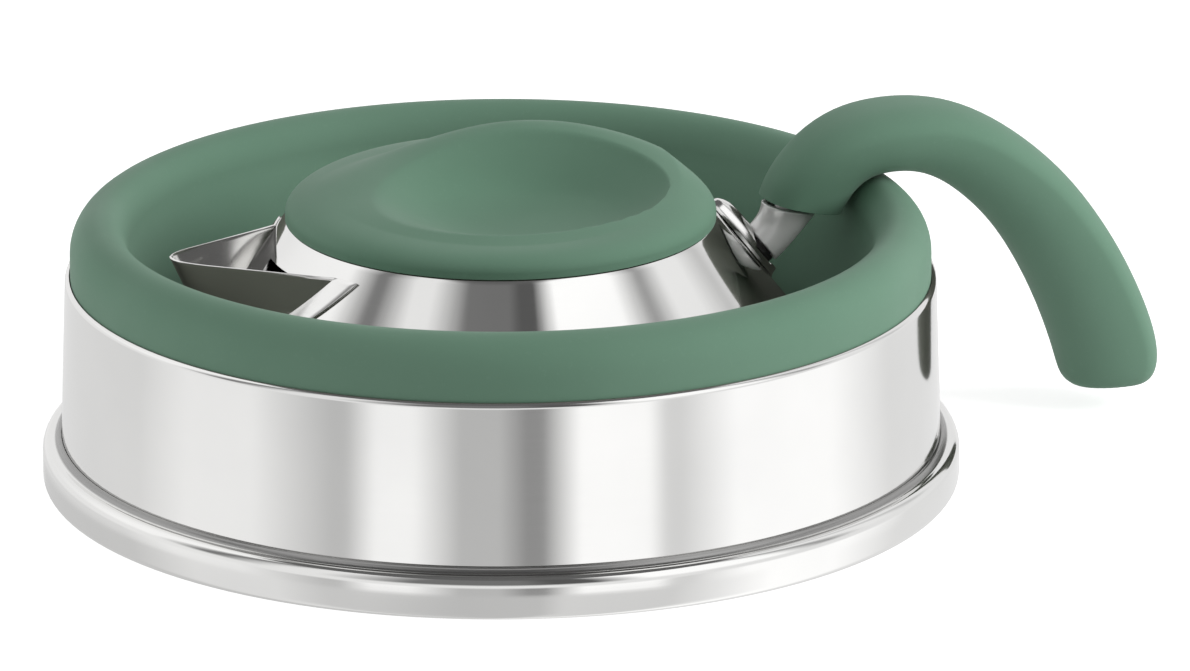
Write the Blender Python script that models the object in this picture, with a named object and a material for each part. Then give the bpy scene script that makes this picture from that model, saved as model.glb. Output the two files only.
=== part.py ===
"""Collapsible camping kettle, modelled collapsed, as an assembly of its real pieces.

Metres, +Z up. The origin is the centre of the base's underside, +X points to the handle
and -X to the spout. The steel pan and its capsule base stand still; the steel dome with
spout and handle rises on the folded silicone wall, and the lid lifts out of the dome.
"""

from math import atan2, ceil, cos, hypot, pi, radians, sin, sqrt, tan

import bmesh
import bpy
from mathutils import Matrix, Vector

MM = 0.001

# Fits and fineness
GAP = 0.3 * MM                  # between pieces that touch
OVERRUN = 6 * MM                # how far a cutter passes what it cuts
MERGE = 0.001 * MM              # points closer than this are one point
ROUND_SIDES = 48
LID_SIDES = 36
SMALL_SIDES = 16
ARC_STEP = radians(46)
CREST_STEPS = 4
SMOOTH_ANGLE = radians(35)

# Base: a drawn pan, an aluminium heat spreader and the steel capsule that closes it
PAN_RADIUS = 103.1 * MM
BASE_LEDGE = 4.4 * MM           # how far the capsule stands out beyond the pan
BASE_RADIUS = PAN_RADIUS + BASE_LEDGE
CAP_SHEET = 0.8 * MM
CAP_HEIGHT = 10.2 * MM
CAP_FOOT_BEND = 1.4 * MM
CAP_SHOULDER_DEPTH = 1.5 * MM
CAP_SHOULDER_DROP = 2.3 * MM
CAP_NECK_BEND = 1.7 * MM        # hollow bend from the ledge up the pan's wall
CORE_THICKNESS = 6.5 * MM

# Pan
PAN_SHEET = 0.8 * MM
PAN_TAPER = 1.3 * MM            # how much narrower the wall is at the top
PAN_FLOOR_BEND = 1.5 * MM
PAN_TOP = 49.7 * MM
PAN_RIM_BEND = 1.0 * MM
PAN_RIM_ANGLE = radians(75)

# Folded silicone wall
WALL_THICKNESS = 2.4 * MM
WALL_RIM_ROOM = 0.7 * MM        # between the silicone and the inside of the pan's rim
WALL_OUTER_RADIUS = PAN_RADIUS - PAN_TAPER - PAN_SHEET - WALL_RIM_ROOM
WALL_CREST_INSET = 7.2 * MM
WALL_CREST_RADIUS = WALL_OUTER_RADIUS - WALL_CREST_INSET
WALL_CREST_TOP = 63.8 * MM
WALL_CREST_DROP = 7.6 * MM      # height of the rounded crest on the wall's middle line
WALL_CREST_INNER = 5.0 * MM     # from the crest to the inner slope, on the middle line
WALL_VALLEY_BEND = 3.6 * MM
WALL_VALLEY_ANGLE = radians(78)
WALL_LIP_DEPTH = 6.4 * MM       # how far the wall reaches below the pan's rim

# Rings that trap the silicone's two lips
RING_SHEET = 0.8 * MM
RIM_RING_TOP_DROP = 0.4 * MM    # below the pan's rim
DOME_RING_LEG = 5.4 * MM

# Steel dome
DOME_SHEET = 0.8 * MM
DOME_TOP = 62.8 * MM
DOME_TO_CREST = 19.3 * MM       # from the dome's skirt out to the silicone's crest
DOME_SKIRT_RADIUS = WALL_CREST_RADIUS - DOME_TO_CREST
DOME_SPREAD = 23.4 * MM         # from the shoulder out to the skirt
DOME_SHOULDER_RADIUS = DOME_SKIRT_RADIUS - DOME_SPREAD
DOME_SHOULDER_BEND = 1.0 * MM
DOME_SLOPE = radians(52)        # below the horizontal
DOME_SKIRT_BEND = 3.0 * MM
DOME_SKIRT_HEIGHT = 1.6 * MM
DOME_FLANGE = 3.2 * MM
DOME_FLANGE_BEND = 0.8 * MM
MOUTH_LEDGE = 3.8 * MM          # rolled edge round the mouth, under the lid
MOUTH_RADIUS = DOME_SHOULDER_RADIUS - MOUTH_LEDGE
MOUTH_DEPTH = 7.8 * MM

# Spout, folded from sheet, with a flange on each side that lies on the dome
SPOUT_SHEET = 0.7 * MM
SPOUT_TO_CREST = 12.4 * MM      # from the spout's lip out to the silicone's crest
SPOUT_REACH = WALL_CREST_RADIUS - SPOUT_TO_CREST
SPOUT_LIP_HEIGHT = 61.1 * MM
SPOUT_ROOT_TOP = 59.3 * MM      # height at which the side walls meet the dome
SPOUT_ROOT_ANGLE = radians(23.0)
SPOUT_KEEL_FOOT = 39.5 * MM     # height at which the keel meets the dome
SPOUT_KEEL_STAND = 1.6 * MM
SPOUT_FLANGE = 7.0 * MM
SPOUT_FOLD_POWER = 0.68
SPOUT_STATIONS = 9
SPOUT_BEND_STEPS = 6
SPOUT_BEND_SHARE = 0.33          # of each side wall, taken by the rounded keel
SPOUT_OPENING_SHARE = 0.42       # of the dome between the fold lines, taken by the pouring hole
SPOUT_OPENING_DROP = 1.6 * MM
SPOUT_OPENING_RISE = 9.0 * MM    # of the pouring hole above the keel's foot

# Handle joint on the dome
JOINT_STAND = 2.25 * MM         # of the joint's middle off the dome, measured level
JOINT_HEIGHT = 48.2 * MM
JOINT_TILT = radians(38.5)      # of the screw's axis above the horizontal
BRACKET_WIDTH = 8.0 * MM        # half width of the leaf-shaped boss at its foot
BRACKET_UP = 18.0 * MM          # its reach up the dome from the screw
BRACKET_DOWN = 7.5 * MM
BRACKET_RIDGE = 4.2 * MM        # its height off the dome, above the handle's seat
BRACKET_SEAT_RADIUS = 5.7 * MM
BRACKET_SEAT_RIM = 0.3 * MM     # stands above the seat on the low side
BRACKET_RIDGE_SPREAD = 2.0
BRACKET_SHARES = (              # reach, width, height up the dome and height below the seat
    (1.00, 1.00, 0.00, 0.00), (0.95, 0.80, 0.22, 0.45), (0.92, 0.70, 0.55, 1.00),
    (0.78, 0.50, 0.88, 1.00), (0.60, 0.28, 0.98, 1.00), (0.40, 0.12, 1.00, 1.00))
WASHER_THICKNESS = 1.2 * MM
WASHER_RADIUS = 4.4 * MM
SCREW_RADIUS = 1.75 * MM
SCREW_CLEARANCE = 0.4 * MM
SCREW_HEAD_RADIUS = 4.2 * MM
SCREW_HEAD_HEIGHT = 2.4 * MM
SCREW_ENGAGEMENT = 4.8 * MM
SCREW_ROUND_SHARE = 0.3          # of a screw's head height and of its shank, rounded at the ends
SEAL_WASHER_RADIUS = 5.2 * MM
SEAL_WASHER_THICKNESS = 1.2 * MM

# Handle collar, a bent ferrule that flares to the grip
COLLAR_FOOT_RADIUS = 4.8 * MM
COLLAR_WAIST_RADIUS = 4.75 * MM
COLLAR_RIM_RADIUS = 5.6 * MM
COLLAR_WALL = 1.2 * MM
COLLAR_RISE_OUT = 8.4 * MM
COLLAR_RISE_UP = 9.5 * MM
COLLAR_RIM_TILT = radians(77)
COLLAR_STATIONS = 6

# Grip: its spine runs from the collar over the top and down to a free end
GRIP_REACH = 82.0 * MM
GRIP_TOP = 72.9 * MM
GRIP_END = 5.5 * MM
GRIP_SPINE_SHARES = (
    (0.050, 0.820), (0.115, 0.925), (0.200, 0.985), (0.292, 1.000), (0.385, 0.995),
    (0.480, 0.963), (0.573, 0.900), (0.668, 0.807), (0.751, 0.700), (0.822, 0.577),
    (0.887, 0.440), (0.942, 0.293), (0.980, 0.165), (0.995, 0.080), (1.000, 0.028), (1.000, 0.000))
GRIP_DEPTH = 23.5 * MM          # across the spine, near the free end
GRIP_DEPTH_SHARES = (
    0.84, 0.84, 0.76, 0.71, 0.70, 0.72, 0.77, 0.81, 0.85, 0.89, 0.93, 0.97, 1.00, 1.02, 1.00, 0.90, 0.70)
GRIP_WIDTH = 25.0 * MM
GRIP_WIDTH_SHARES = (
    0.67, 0.74, 0.86, 0.94, 0.99, 1.00, 1.00, 1.00, 1.00, 1.00, 1.00, 1.00, 1.00, 0.98, 0.93, 0.83, 0.64)
GRIP_CROWN = 6.0 * MM           # from the widest line out to the crown
GRIP_SIDES = 16
GRIP_START_LIFT = 0.6 * MM
GRIP_START_FOLLOW = 3.0          # weight of the collar's direction in that of the grip's start
GRIP_OVERHANG_SHARE = 0.12      # how far its start sits off the collar, of its depth

# Steel tang inside the grip
TANG_ROOT_RADIUS = 3.2 * MM
TANG_HALF_DEPTH = 2.5 * MM
TANG_HALF_WIDTH = 5.0 * MM
TANG_LAST_STATION = 11
TANG_FLATTENING_STATIONS = 3
TANG_SIDES = 12
TAPPED_DEPTH = 6.0 * MM

# Lid
LID_INSET = 0.1 * MM            # from the dome's shoulder in to the lid's edge
LID_RADIUS = DOME_SHOULDER_RADIUS - LID_INSET
LID_SHEET = 0.7 * MM
LID_PLUG_DEPTH = 7.0 * MM
LID_PLUG_CLEARANCE = 1.65 * MM
LID_PLUG_BEND = 1.2 * MM
LID_FLANGE_EDGE = 1.7 * MM      # from the plate's rim to the cover's outside
COVER_SKIN = 2.3 * MM
COVER_RIM_HEIGHT = 1.1 * MM
COVER_CROWN = 8.6 * MM
COVER_CROWN_POWER = 4.0
BOWL_OFFSET = 1.0 * MM          # of the finger recess's middle, towards the handle
BOWL_SIDE_OFFSET = 11.0 * MM    # and towards the kettle's side
BOWL_HALF_LENGTH = 35.5 * MM
BOWL_HALF_WIDTH = 26.5 * MM
BOWL_DEPTH = 9.0 * MM
BOWL_FLOOR_POWER = 3.0          # how flat the recess's floor is
BOWL_SOFT_POWER = 1.6           # how softly its edge runs out towards the spout
BOWL_CRISP_POWER = 1.0          # and towards the handle
BOWL_CRISP_SPREAD = 0.6         # how far the crisp edge reaches round
BOWL_LIP = 7.0 * MM             # rise of the recess's edge on its high side
BOWL_DIP = 2.0 * MM             # and its fall on the low side
BOWL_LIP_DIRECTION = radians(68)
BOWL_RIDGE_SHARE = 1.15         # where the raised edge is highest, of the recess
BOWL_EDGE_SHARE = 0.5           # half width of the raised edge, of the recess
BOWL_FADE_SHARE = 6.0           # how fast the raised edge dies away at the lid's rim
SEAL_HEIGHT = 3.6 * MM
SEAL_LIP = 0.5 * MM
SEAL_PROFILE_SHARES = ((0, 1), (0.2, 0), (0.5, 1), (0.8, 0), (1, 1))   # height, depth of groove
LID_SCREW_CIRCLE = 26.0 * MM
LID_SCREW_RADIUS = 1.5 * MM
LID_SCREW_HEAD_RADIUS = 3.0 * MM
LID_SCREW_HEAD = 1.6 * MM
LID_SCREW_GRIP = 4.2 * MM
LID_SCREWS = 3
LID_RINGS = 10
LID_RIM_SHARES = (0.915, 0.955, 0.985)

# Heights that follow from the stack of the base
CORE_BOTTOM = CAP_SHEET + GAP
CORE_TOP = CORE_BOTTOM + CORE_THICKNESS
PAN_FLOOR = CORE_TOP + GAP
WALL_CREST_BASE = WALL_CREST_TOP - WALL_THICKNESS / 2 - WALL_CREST_DROP
WALL_MIDDLE_RADIUS = WALL_OUTER_RADIUS - WALL_THICKNESS / 2
WALL_FOOT = PAN_TOP - WALL_LIP_DEPTH


def clear_scene():
    for item in list(bpy.data.objects):
        bpy.data.objects.remove(item, do_unlink=True)


def finish(name, color, metallic, roughness):
    material = bpy.data.materials.new(name)
    material.use_nodes = True
    shader = material.node_tree.nodes["Principled BSDF"]
    shader.inputs["Base Color"].default_value = (*color, 1)
    shader.inputs["Metallic"].default_value = metallic
    shader.inputs["Roughness"].default_value = roughness
    material.diffuse_color = (*color, 1)
    return material


def steel(name, roughness=0.15):
    return finish(name, (0.72, 0.72, 0.71), 1, roughness)


def silicone(name):
    return finish(name, (0.155, 0.290, 0.205), 0, 0.55)


def arc(centre_r, centre_z, radius_r, radius_z, start, end, steps=0):
    """Points on an elliptical arc, both ends included."""
    steps = steps or max(2, ceil(abs(end - start) / ARC_STEP))
    angles = [start + (end - start) * i / steps for i in range(steps + 1)]
    return [(centre_r + radius_r * cos(a), centre_z + radius_z * sin(a)) for a in angles]


def sheet(path, thickness):
    """Closed outline of a sheet whose middle line is the path of (radius, height) points."""
    left, right = [], []
    last = len(path) - 1
    for i, (r, z) in enumerate(path):
        before = path[max(i - 1, 0)]
        after = path[min(i + 1, last)]
        d1 = Vector((r - before[0], z - before[1]))
        d2 = Vector((after[0] - r, after[1] - z))
        if i == 0:
            d1 = d2
        if i == last:
            d2 = d1
        d1.normalize()
        d2.normalize()
        middle = (d1 + d2).normalized()
        normal = Vector((-middle.y, middle.x))
        reach = thickness / 2 / max(normal.dot(Vector((-d1.y, d1.x))), 0.5)
        left.append((max(r + normal.x * reach, 0), z + normal.y * reach))
        right.append((max(r - normal.x * reach, 0), z - normal.y * reach))
    return left + right[::-1]


def object_from(bm, name, material):
    bmesh.ops.remove_doubles(bm, verts=bm.verts, dist=MERGE)
    bmesh.ops.recalc_face_normals(bm, faces=bm.faces)
    mesh = bpy.data.meshes.new(name)
    bm.to_mesh(mesh)
    bm.free()
    mesh.materials.append(material)
    mesh.shade_smooth()
    mesh.set_sharp_from_angle(angle=SMOOTH_ANGLE)
    piece = bpy.data.objects.new(name, mesh)
    bpy.context.scene.collection.objects.link(piece)
    return piece


def turned(name, outline, material, sides=ROUND_SIDES):
    """Spin a closed outline of (radius, height) points round the Z axis."""
    bm = bmesh.new()
    points = [bm.verts.new((r, 0, z)) for r, z in outline]
    edges = []
    for i, point in enumerate(points):
        following = points[(i + 1) % len(points)]
        if point.co.x > 0 or following.co.x > 0:
            edges.append(bm.edges.new((point, following)))
    bmesh.ops.spin(bm, geom=points + edges, cent=(0, 0, 0), axis=(0, 0, 1), angle=2 * pi,
                   steps=sides, use_merge=True, use_duplicate=False)
    return object_from(bm, name, material)


def lofted(name, rings, material, cap_start=True, cap_end=True):
    """Skin rings that have the same number of points; a ring may be closed off by a cap."""
    bm = bmesh.new()
    rows = [[bm.verts.new(point) for point in ring] for ring in rings]
    count = len(rows[0])
    for low, high in zip(rows, rows[1:]):
        for i in range(count):
            j = (i + 1) % count
            bm.faces.new((low[i], low[j], high[j], high[i]))
    if cap_start:
        bm.faces.new(rows[0][::-1])
    if cap_end:
        bm.faces.new(rows[-1])
    return object_from(bm, name, material)


def placed(piece, place, tilt_from_vertical, parent):
    """Stand a piece that was modelled along +Z on the handle's side, leaning outwards."""
    piece.location = place
    piece.rotation_euler = (0, tilt_from_vertical, 0)
    piece.parent = parent
    return piece


def cut(piece, cutter):
    cutter.hide_render = True
    cutter.display_type = "WIRE"
    boolean = piece.modifiers.new("cut " + cutter.name, "BOOLEAN")
    boolean.operation = "DIFFERENCE"
    boolean.solver = "EXACT"
    boolean.object = cutter


def cylinder(radius, low, high, x=0, y=0, tilt=0, name="cutter", material=None, sides=SMALL_SIDES):
    """A solid cylinder along its own Z, round x, y."""
    bm = bmesh.new()
    bmesh.ops.create_cone(bm, cap_ends=True, segments=sides, radius1=radius, radius2=radius,
                          depth=high - low, matrix=Matrix.Translation((x, y, (low + high) / 2)))
    return object_from(bm, name, material or STEEL_PLAIN)


def headed_screw(name, shank, length, head, head_height, material):
    """Head below z = 0, shank above it."""
    head_round = head_height * SCREW_ROUND_SHARE
    end_round = shank * SCREW_ROUND_SHARE
    outline = [(0, -head_height), (head - head_round, -head_height), (head, head_round - head_height),
               (head, 0), (shank, 0), (shank, length - end_round), (shank - end_round, length), (0, length)]
    return turned(name, outline, material, SMALL_SIDES)


def ring_outline(inner, outer, low, high):
    return [(inner, low), (outer, low), (outer, high), (inner, high)]


# Base

def pan_radius_at(height):
    """Outer radius of the pan's tapering wall."""
    return PAN_RADIUS - PAN_TAPER * (height - PAN_FLOOR) / (PAN_TOP - PAN_FLOOR)


def make_base():
    half = CAP_SHEET / 2
    wall = BASE_RADIUS - half
    ledge = CAP_HEIGHT - half
    neck = pan_radius_at(CAP_HEIGHT) + GAP + half
    path = [(0, half)]
    path += arc(wall - CAP_FOOT_BEND, half + CAP_FOOT_BEND, CAP_FOOT_BEND, CAP_FOOT_BEND, -pi / 2, 0)
    path += arc(wall - CAP_SHOULDER_DEPTH, ledge - CAP_SHOULDER_DROP,
                CAP_SHOULDER_DEPTH, CAP_SHOULDER_DROP, 0, pi / 2)
    path += arc(neck + CAP_NECK_BEND, ledge + CAP_NECK_BEND, CAP_NECK_BEND, CAP_NECK_BEND, -pi / 2, -pi)
    turned("base_cap", sheet(path, CAP_SHEET), steel("polished steel cap"))

    core_radius = wall - half - CAP_FOOT_BEND
    turned("heat_spreader", ring_outline(0, core_radius, CORE_BOTTOM, CORE_TOP),
           finish("aluminium", (0.62, 0.62, 0.62), 1, 0.4))

    half = PAN_SHEET / 2
    floor = PAN_FLOOR + half
    wall = PAN_RADIUS - half
    path = [(0, floor)]
    path += arc(wall - PAN_FLOOR_BEND, floor + PAN_FLOOR_BEND, PAN_FLOOR_BEND, PAN_FLOOR_BEND, -pi / 2, 0)
    top_wall = wall - PAN_TAPER
    bend_z = PAN_TOP - half - PAN_RIM_BEND
    path += arc(top_wall - PAN_RIM_BEND, bend_z, PAN_RIM_BEND, PAN_RIM_BEND, 0, PAN_RIM_ANGLE)
    turned("pan", sheet(path, PAN_SHEET), steel("brushed steel pan"))

    # The L ring: its leg backs the silicone, its foot reaches out to the pan's wall.
    leg_outer = WALL_OUTER_RADIUS - WALL_THICKNESS - GAP
    leg_inner = leg_outer - RING_SHEET
    foot_top = WALL_FOOT - GAP
    foot_low = foot_top - RING_SHEET
    foot_outer = pan_radius_at(foot_top) - PAN_SHEET - 2 * GAP
    outline = [(leg_inner, foot_low), (foot_outer, foot_low), (foot_outer, foot_top), (leg_outer, foot_top),
               (leg_outer, PAN_TOP - RIM_RING_TOP_DROP), (leg_inner, PAN_TOP - RIM_RING_TOP_DROP)]
    turned("rim_ring", outline, steel("ring steel", 0.3))


# Dome: the cone's line is shared by everything that sits on it

CONE_TOP = DOME_TOP - DOME_SHOULDER_BEND * (1 - cos(DOME_SLOPE))
CONE_TOP_RADIUS = DOME_SHOULDER_RADIUS - DOME_SHOULDER_BEND * (1 - sin(DOME_SLOPE))


def cone_radius(height, stand_off=0.0):
    """Radius of the dome's outer surface at a height, or of a surface parallel to it."""
    return CONE_TOP_RADIUS + (CONE_TOP - height) / tan(DOME_SLOPE) + stand_off / sin(DOME_SLOPE)


def cone_height(radius):
    return CONE_TOP - (radius - CONE_TOP_RADIUS) * tan(DOME_SLOPE)


SKIRT_MIDDLE = DOME_SKIRT_RADIUS - DOME_SHEET / 2
SKIRT_BEND_Z = cone_height(DOME_SKIRT_RADIUS) - DOME_SKIRT_BEND * tan((pi / 2 - DOME_SLOPE) / 2)
FLANGE_Z = SKIRT_BEND_Z - DOME_SKIRT_HEIGHT - DOME_FLANGE_BEND
FLANGE_EDGE = DOME_SKIRT_RADIUS + DOME_FLANGE
LIP_Z = FLANGE_Z - DOME_SHEET / 2 - GAP - WALL_THICKNESS / 2
WALL_VALLEY_RADIUS = FLANGE_EDGE + 2 * GAP


def make_dome():
    half = DOME_SHEET / 2
    mouth = MOUTH_RADIUS + half
    top = DOME_TOP - half
    bend = DOME_SHOULDER_BEND
    path = [(mouth, DOME_TOP - MOUTH_DEPTH)]
    path += arc(mouth + bend, top - bend, bend, bend, pi, pi / 2)
    path += arc(DOME_SHOULDER_RADIUS - bend, DOME_TOP - bend, bend - half, bend - half,
                pi / 2, pi / 2 - DOME_SLOPE)
    skirt = DOME_SKIRT_BEND - half
    path += arc(DOME_SKIRT_RADIUS - DOME_SKIRT_BEND, SKIRT_BEND_Z, skirt, skirt, pi / 2 - DOME_SLOPE, 0)
    path += arc(SKIRT_MIDDLE + DOME_FLANGE_BEND, FLANGE_Z + DOME_FLANGE_BEND,
                DOME_FLANGE_BEND, DOME_FLANGE_BEND, pi, 3 * pi / 2)
    path += [(FLANGE_EDGE, FLANGE_Z)]
    dome = turned("dome", sheet(path, DOME_SHEET), steel("polished steel dome"))
    cut(dome, spout_opening())
    hole = cylinder(SCREW_RADIUS + SCREW_CLEARANCE, -2 * OVERRUN, OVERRUN, name="cut_dome_screw_hole")
    cut(dome, placed(hole, (JOINT_REACH, 0, JOINT_HEIGHT), pi / 2 - JOINT_TILT, None))

    leg_outer = DOME_SKIRT_RADIUS - DOME_SHEET - GAP
    leg_inner = leg_outer - RING_SHEET
    foot_top = LIP_Z - WALL_THICKNESS / 2 - GAP
    foot_low = foot_top - RING_SHEET
    outline = [(leg_inner, foot_low), (FLANGE_EDGE, foot_low), (FLANGE_EDGE, foot_top), (leg_outer, foot_top),
               (leg_outer, foot_low + DOME_RING_LEG), (leg_inner, foot_low + DOME_RING_LEG)]
    turned("dome_ring", outline, steel("ring steel", 0.3))
    return dome


# Folded silicone wall

def wall_path():
    """Middle line, from the lip under the dome's flange, over the crest, to the lip in the pan's rim."""
    path = [(DOME_SKIRT_RADIUS - GAP, LIP_Z)]
    path += arc(WALL_VALLEY_RADIUS, LIP_Z + WALL_VALLEY_BEND, WALL_VALLEY_BEND, WALL_VALLEY_BEND,
                -pi / 2, WALL_VALLEY_ANGLE - pi / 2)
    path += arc(WALL_CREST_RADIUS, WALL_CREST_BASE, WALL_CREST_INNER, WALL_CREST_DROP,
                pi, pi / 2, CREST_STEPS)
    outer = WALL_MIDDLE_RADIUS - WALL_CREST_RADIUS
    path += arc(WALL_CREST_RADIUS, WALL_CREST_BASE, outer, WALL_CREST_DROP, pi / 2, 0, CREST_STEPS)[1:]
    path += [(WALL_MIDDLE_RADIUS, WALL_FOOT)]
    return path


def make_wall():
    turned("silicone_wall", sheet(wall_path(), WALL_THICKNESS), silicone("green silicone wall"))


# Spout

def on_cone(height, angle, stand_off):
    """A point on the dome's spout side; the angle is measured from the spout's middle."""
    radius = cone_radius(height, stand_off)
    return Vector((-radius * cos(angle), radius * sin(angle), height))


def fold_angle(height, margin=0.0):
    """Where a side wall of the spout meets the dome, at a height, as an angle from its middle."""
    share = (height - SPOUT_KEEL_FOOT) / (SPOUT_ROOT_TOP - SPOUT_KEEL_FOOT)
    return SPOUT_ROOT_ANGLE * max(share, 0) ** SPOUT_FOLD_POWER - margin / cone_radius(height)


def spout_section(share):
    """Points across the spout's middle surface, flange to flange; share 0 is the top edge."""
    stand = GAP + SPOUT_SHEET / 2
    lip = Vector((-SPOUT_REACH, 0, SPOUT_LIP_HEIGHT))
    foot = on_cone(SPOUT_KEEL_FOOT, 0, stand + SPOUT_KEEL_STAND)
    keel = lip.lerp(foot, share)
    height = SPOUT_ROOT_TOP + (SPOUT_KEEL_FOOT - SPOUT_ROOT_TOP) * share
    angle = fold_angle(height, -SPOUT_KEEL_STAND)
    flange = SPOUT_FLANGE / cone_radius(height)
    side = []
    for sign in (-1, 1):
        fold = on_cone(height, sign * angle, stand)
        edge = on_cone(height, sign * (angle + flange), stand)
        middle = on_cone(height, sign * (angle + flange / 2), stand)
        side.append((edge, middle, fold))
    # The walls' corner lies so far out that the rounded keel passes through its own line.
    share_half = SPOUT_BEND_SHARE / 2
    corner = (keel - (side[0][2] + side[1][2]) * share_half / 2) / (1 - share_half)
    tangents = [corner.lerp(fold, SPOUT_BEND_SHARE) for _, _, fold in side]
    bend = []
    for i in range(SPOUT_BEND_STEPS + 1):
        t = i / SPOUT_BEND_STEPS
        bend.append(tangents[0].lerp(corner, t).lerp(corner.lerp(tangents[1], t), t))
    return list(side[0]) + bend + list(side[1][::-1])


def make_spout():
    bm = bmesh.new()
    rows = []
    for i in range(SPOUT_STATIONS):
        rows.append([bm.verts.new(point) for point in spout_section(i / (SPOUT_STATIONS - 1))])
    for high, low in zip(rows, rows[1:]):
        for a, b, c, d in zip(high, high[1:], low[1:], low):
            bm.faces.new((a, b, c, d))
    spout = object_from(bm, "spout", steel("spout steel"))
    solid = spout.modifiers.new("sheet thickness", "SOLIDIFY")
    solid.thickness = SPOUT_SHEET
    solid.offset = 0
    solid.use_even_offset = True


def spout_opening():
    """Cutter for the pouring hole in the dome, inside the spout's two fold lines."""
    top = SPOUT_ROOT_TOP - SPOUT_OPENING_DROP
    low = SPOUT_KEEL_FOOT + SPOUT_OPENING_RISE
    rings = []
    heights = [low + (top - low) * i / SPOUT_BEND_STEPS for i in range(SPOUT_BEND_STEPS + 1)]
    for stand_off in (-OVERRUN, OVERRUN):
        one = [on_cone(z, -fold_angle(z) * SPOUT_OPENING_SHARE, stand_off) for z in heights]
        other = [on_cone(z, fold_angle(z) * SPOUT_OPENING_SHARE, stand_off) for z in heights]
        rings.append(one + other[::-1])
    return lofted("cut_spout_opening", rings, STEEL_PLAIN)


# Handle

JOINT_REACH = cone_radius(JOINT_HEIGHT) + JOINT_STAND
JOINT_AXIS = Vector((cos(JOINT_TILT), 0, sin(JOINT_TILT)))
JOINT_POINT = Vector((JOINT_REACH, 0, JOINT_HEIGHT))
SIDEWAYS = Vector((0, 1, 0))


def joint_to_dome():
    """Distance from the joint's face back along its axis to the dome's surface."""
    return JOINT_STAND / (cos(JOINT_TILT) + sin(JOINT_TILT) / tan(DOME_SLOPE))


def make_bracket(clearance_cone):
    """Leaf-shaped steel boss, welded on the dome, with a seat for the handle's collar."""
    depth = joint_to_dome()
    slope_up = Vector((-cos(DOME_SLOPE), 0, sin(DOME_SLOPE)))
    slope_out = Vector((sin(DOME_SLOPE), 0, cos(DOME_SLOPE)))
    middle = JOINT_POINT - JOINT_AXIS * depth
    low_height = depth + BRACKET_SEAT_RIM
    rings = []
    sides = ROUND_SIDES // 2
    for reach_share, width_share, ridge_share, low_share in BRACKET_SHARES:
        ring = []
        for i in range(sides):
            a = 2 * pi * i / sides
            reach = reach_share * (BRACKET_UP if cos(a) > 0 else BRACKET_DOWN)
            ridge = min(max(cos(a), 0) * BRACKET_RIDGE_SPREAD, 1)
            rise = low_share * low_height + (ridge_share * BRACKET_RIDGE - low_share * low_height) * ridge
            side = SIDEWAYS * sin(a) * BRACKET_WIDTH * width_share
            ring.append(middle + slope_up * cos(a) * reach + side + slope_out * rise)
        if not rings:
            rings.append([point - slope_out * OVERRUN / 2 for point in ring])
        rings.append(ring)
    bracket = lofted("handle_bracket", rings, steel("bracket steel"))
    cut(bracket, clearance_cone)
    lean = pi / 2 - JOINT_TILT
    seat = cylinder(BRACKET_SEAT_RADIUS, 0, OVERRUN, name="cut_bracket_seat", sides=ROUND_SIDES // 2)
    cut(bracket, placed(seat, JOINT_POINT, lean, None))
    hole = cylinder(SCREW_RADIUS + SCREW_CLEARANCE, -2 * OVERRUN, OVERRUN, name="cut_bracket_hole")
    cut(bracket, placed(hole, JOINT_POINT, lean, None))


def dome_clearance():
    """The dome's cone, thicker by the gap, that trims what is welded on it."""
    low, high = cone_height(DOME_SKIRT_RADIUS), CONE_TOP
    outline = [(0, low), (cone_radius(low, GAP), low), (cone_radius(high, GAP), high),
               (cone_radius(high, GAP) - OVERRUN / 3, high + OVERRUN), (0, high + OVERRUN)]
    return turned("cut_dome_clearance", outline, STEEL_PLAIN)


def frame_ring(centre, across, half_across, half_side, sides, crown=None):
    """A ring about a spine point; with a crown, the widest line sits off the middle."""
    ring = []
    for i in range(sides):
        a = 2 * pi * i / sides
        if crown is None:
            reach = sin(a) * half_across
        elif sin(a) > 0:
            reach = half_across - crown + sin(a) * crown
        else:
            reach = half_across - crown + sin(a) * (2 * half_across - crown)
        ring.append(centre + across * reach + SIDEWAYS * cos(a) * half_side)
    return ring


def collar_line(t):
    """Middle of the bent collar, from the washer's face to the rim, and its direction."""
    start = JOINT_POINT + JOINT_AXIS * (WASHER_THICKNESS + 2 * GAP)
    end = JOINT_POINT + Vector((COLLAR_RISE_OUT, 0, COLLAR_RISE_UP))
    rim = Vector((cos(COLLAR_RIM_TILT), 0, sin(COLLAR_RIM_TILT)))
    reach = (end - start).length / 2
    bend = start + JOINT_AXIS * reach
    point = start.lerp(bend, t).lerp(bend.lerp(end, t), t)
    direction = JOINT_AXIS.lerp(rim, t).normalized()
    return point, direction


def make_collar():
    outer, inner = [], []
    for i in range(COLLAR_STATIONS):
        t = i / (COLLAR_STATIONS - 1)
        point, direction = collar_line(t)
        across = Vector((-direction.z, 0, direction.x))
        waist = COLLAR_WAIST_RADIUS + (COLLAR_FOOT_RADIUS - COLLAR_WAIST_RADIUS) * (1 - t) ** 2
        radius = waist + (COLLAR_RIM_RADIUS - COLLAR_WAIST_RADIUS) * t ** 2
        outer.append(frame_ring(point, across, radius, radius, SMALL_SIDES))
        bore = radius - COLLAR_WALL
        inner.append(frame_ring(point, across, bore, bore, SMALL_SIDES))
    rings = outer + inner[::-1] + outer[:1]
    lofted("handle_collar", rings, steel("collar steel"), cap_start=False, cap_end=False)


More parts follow.
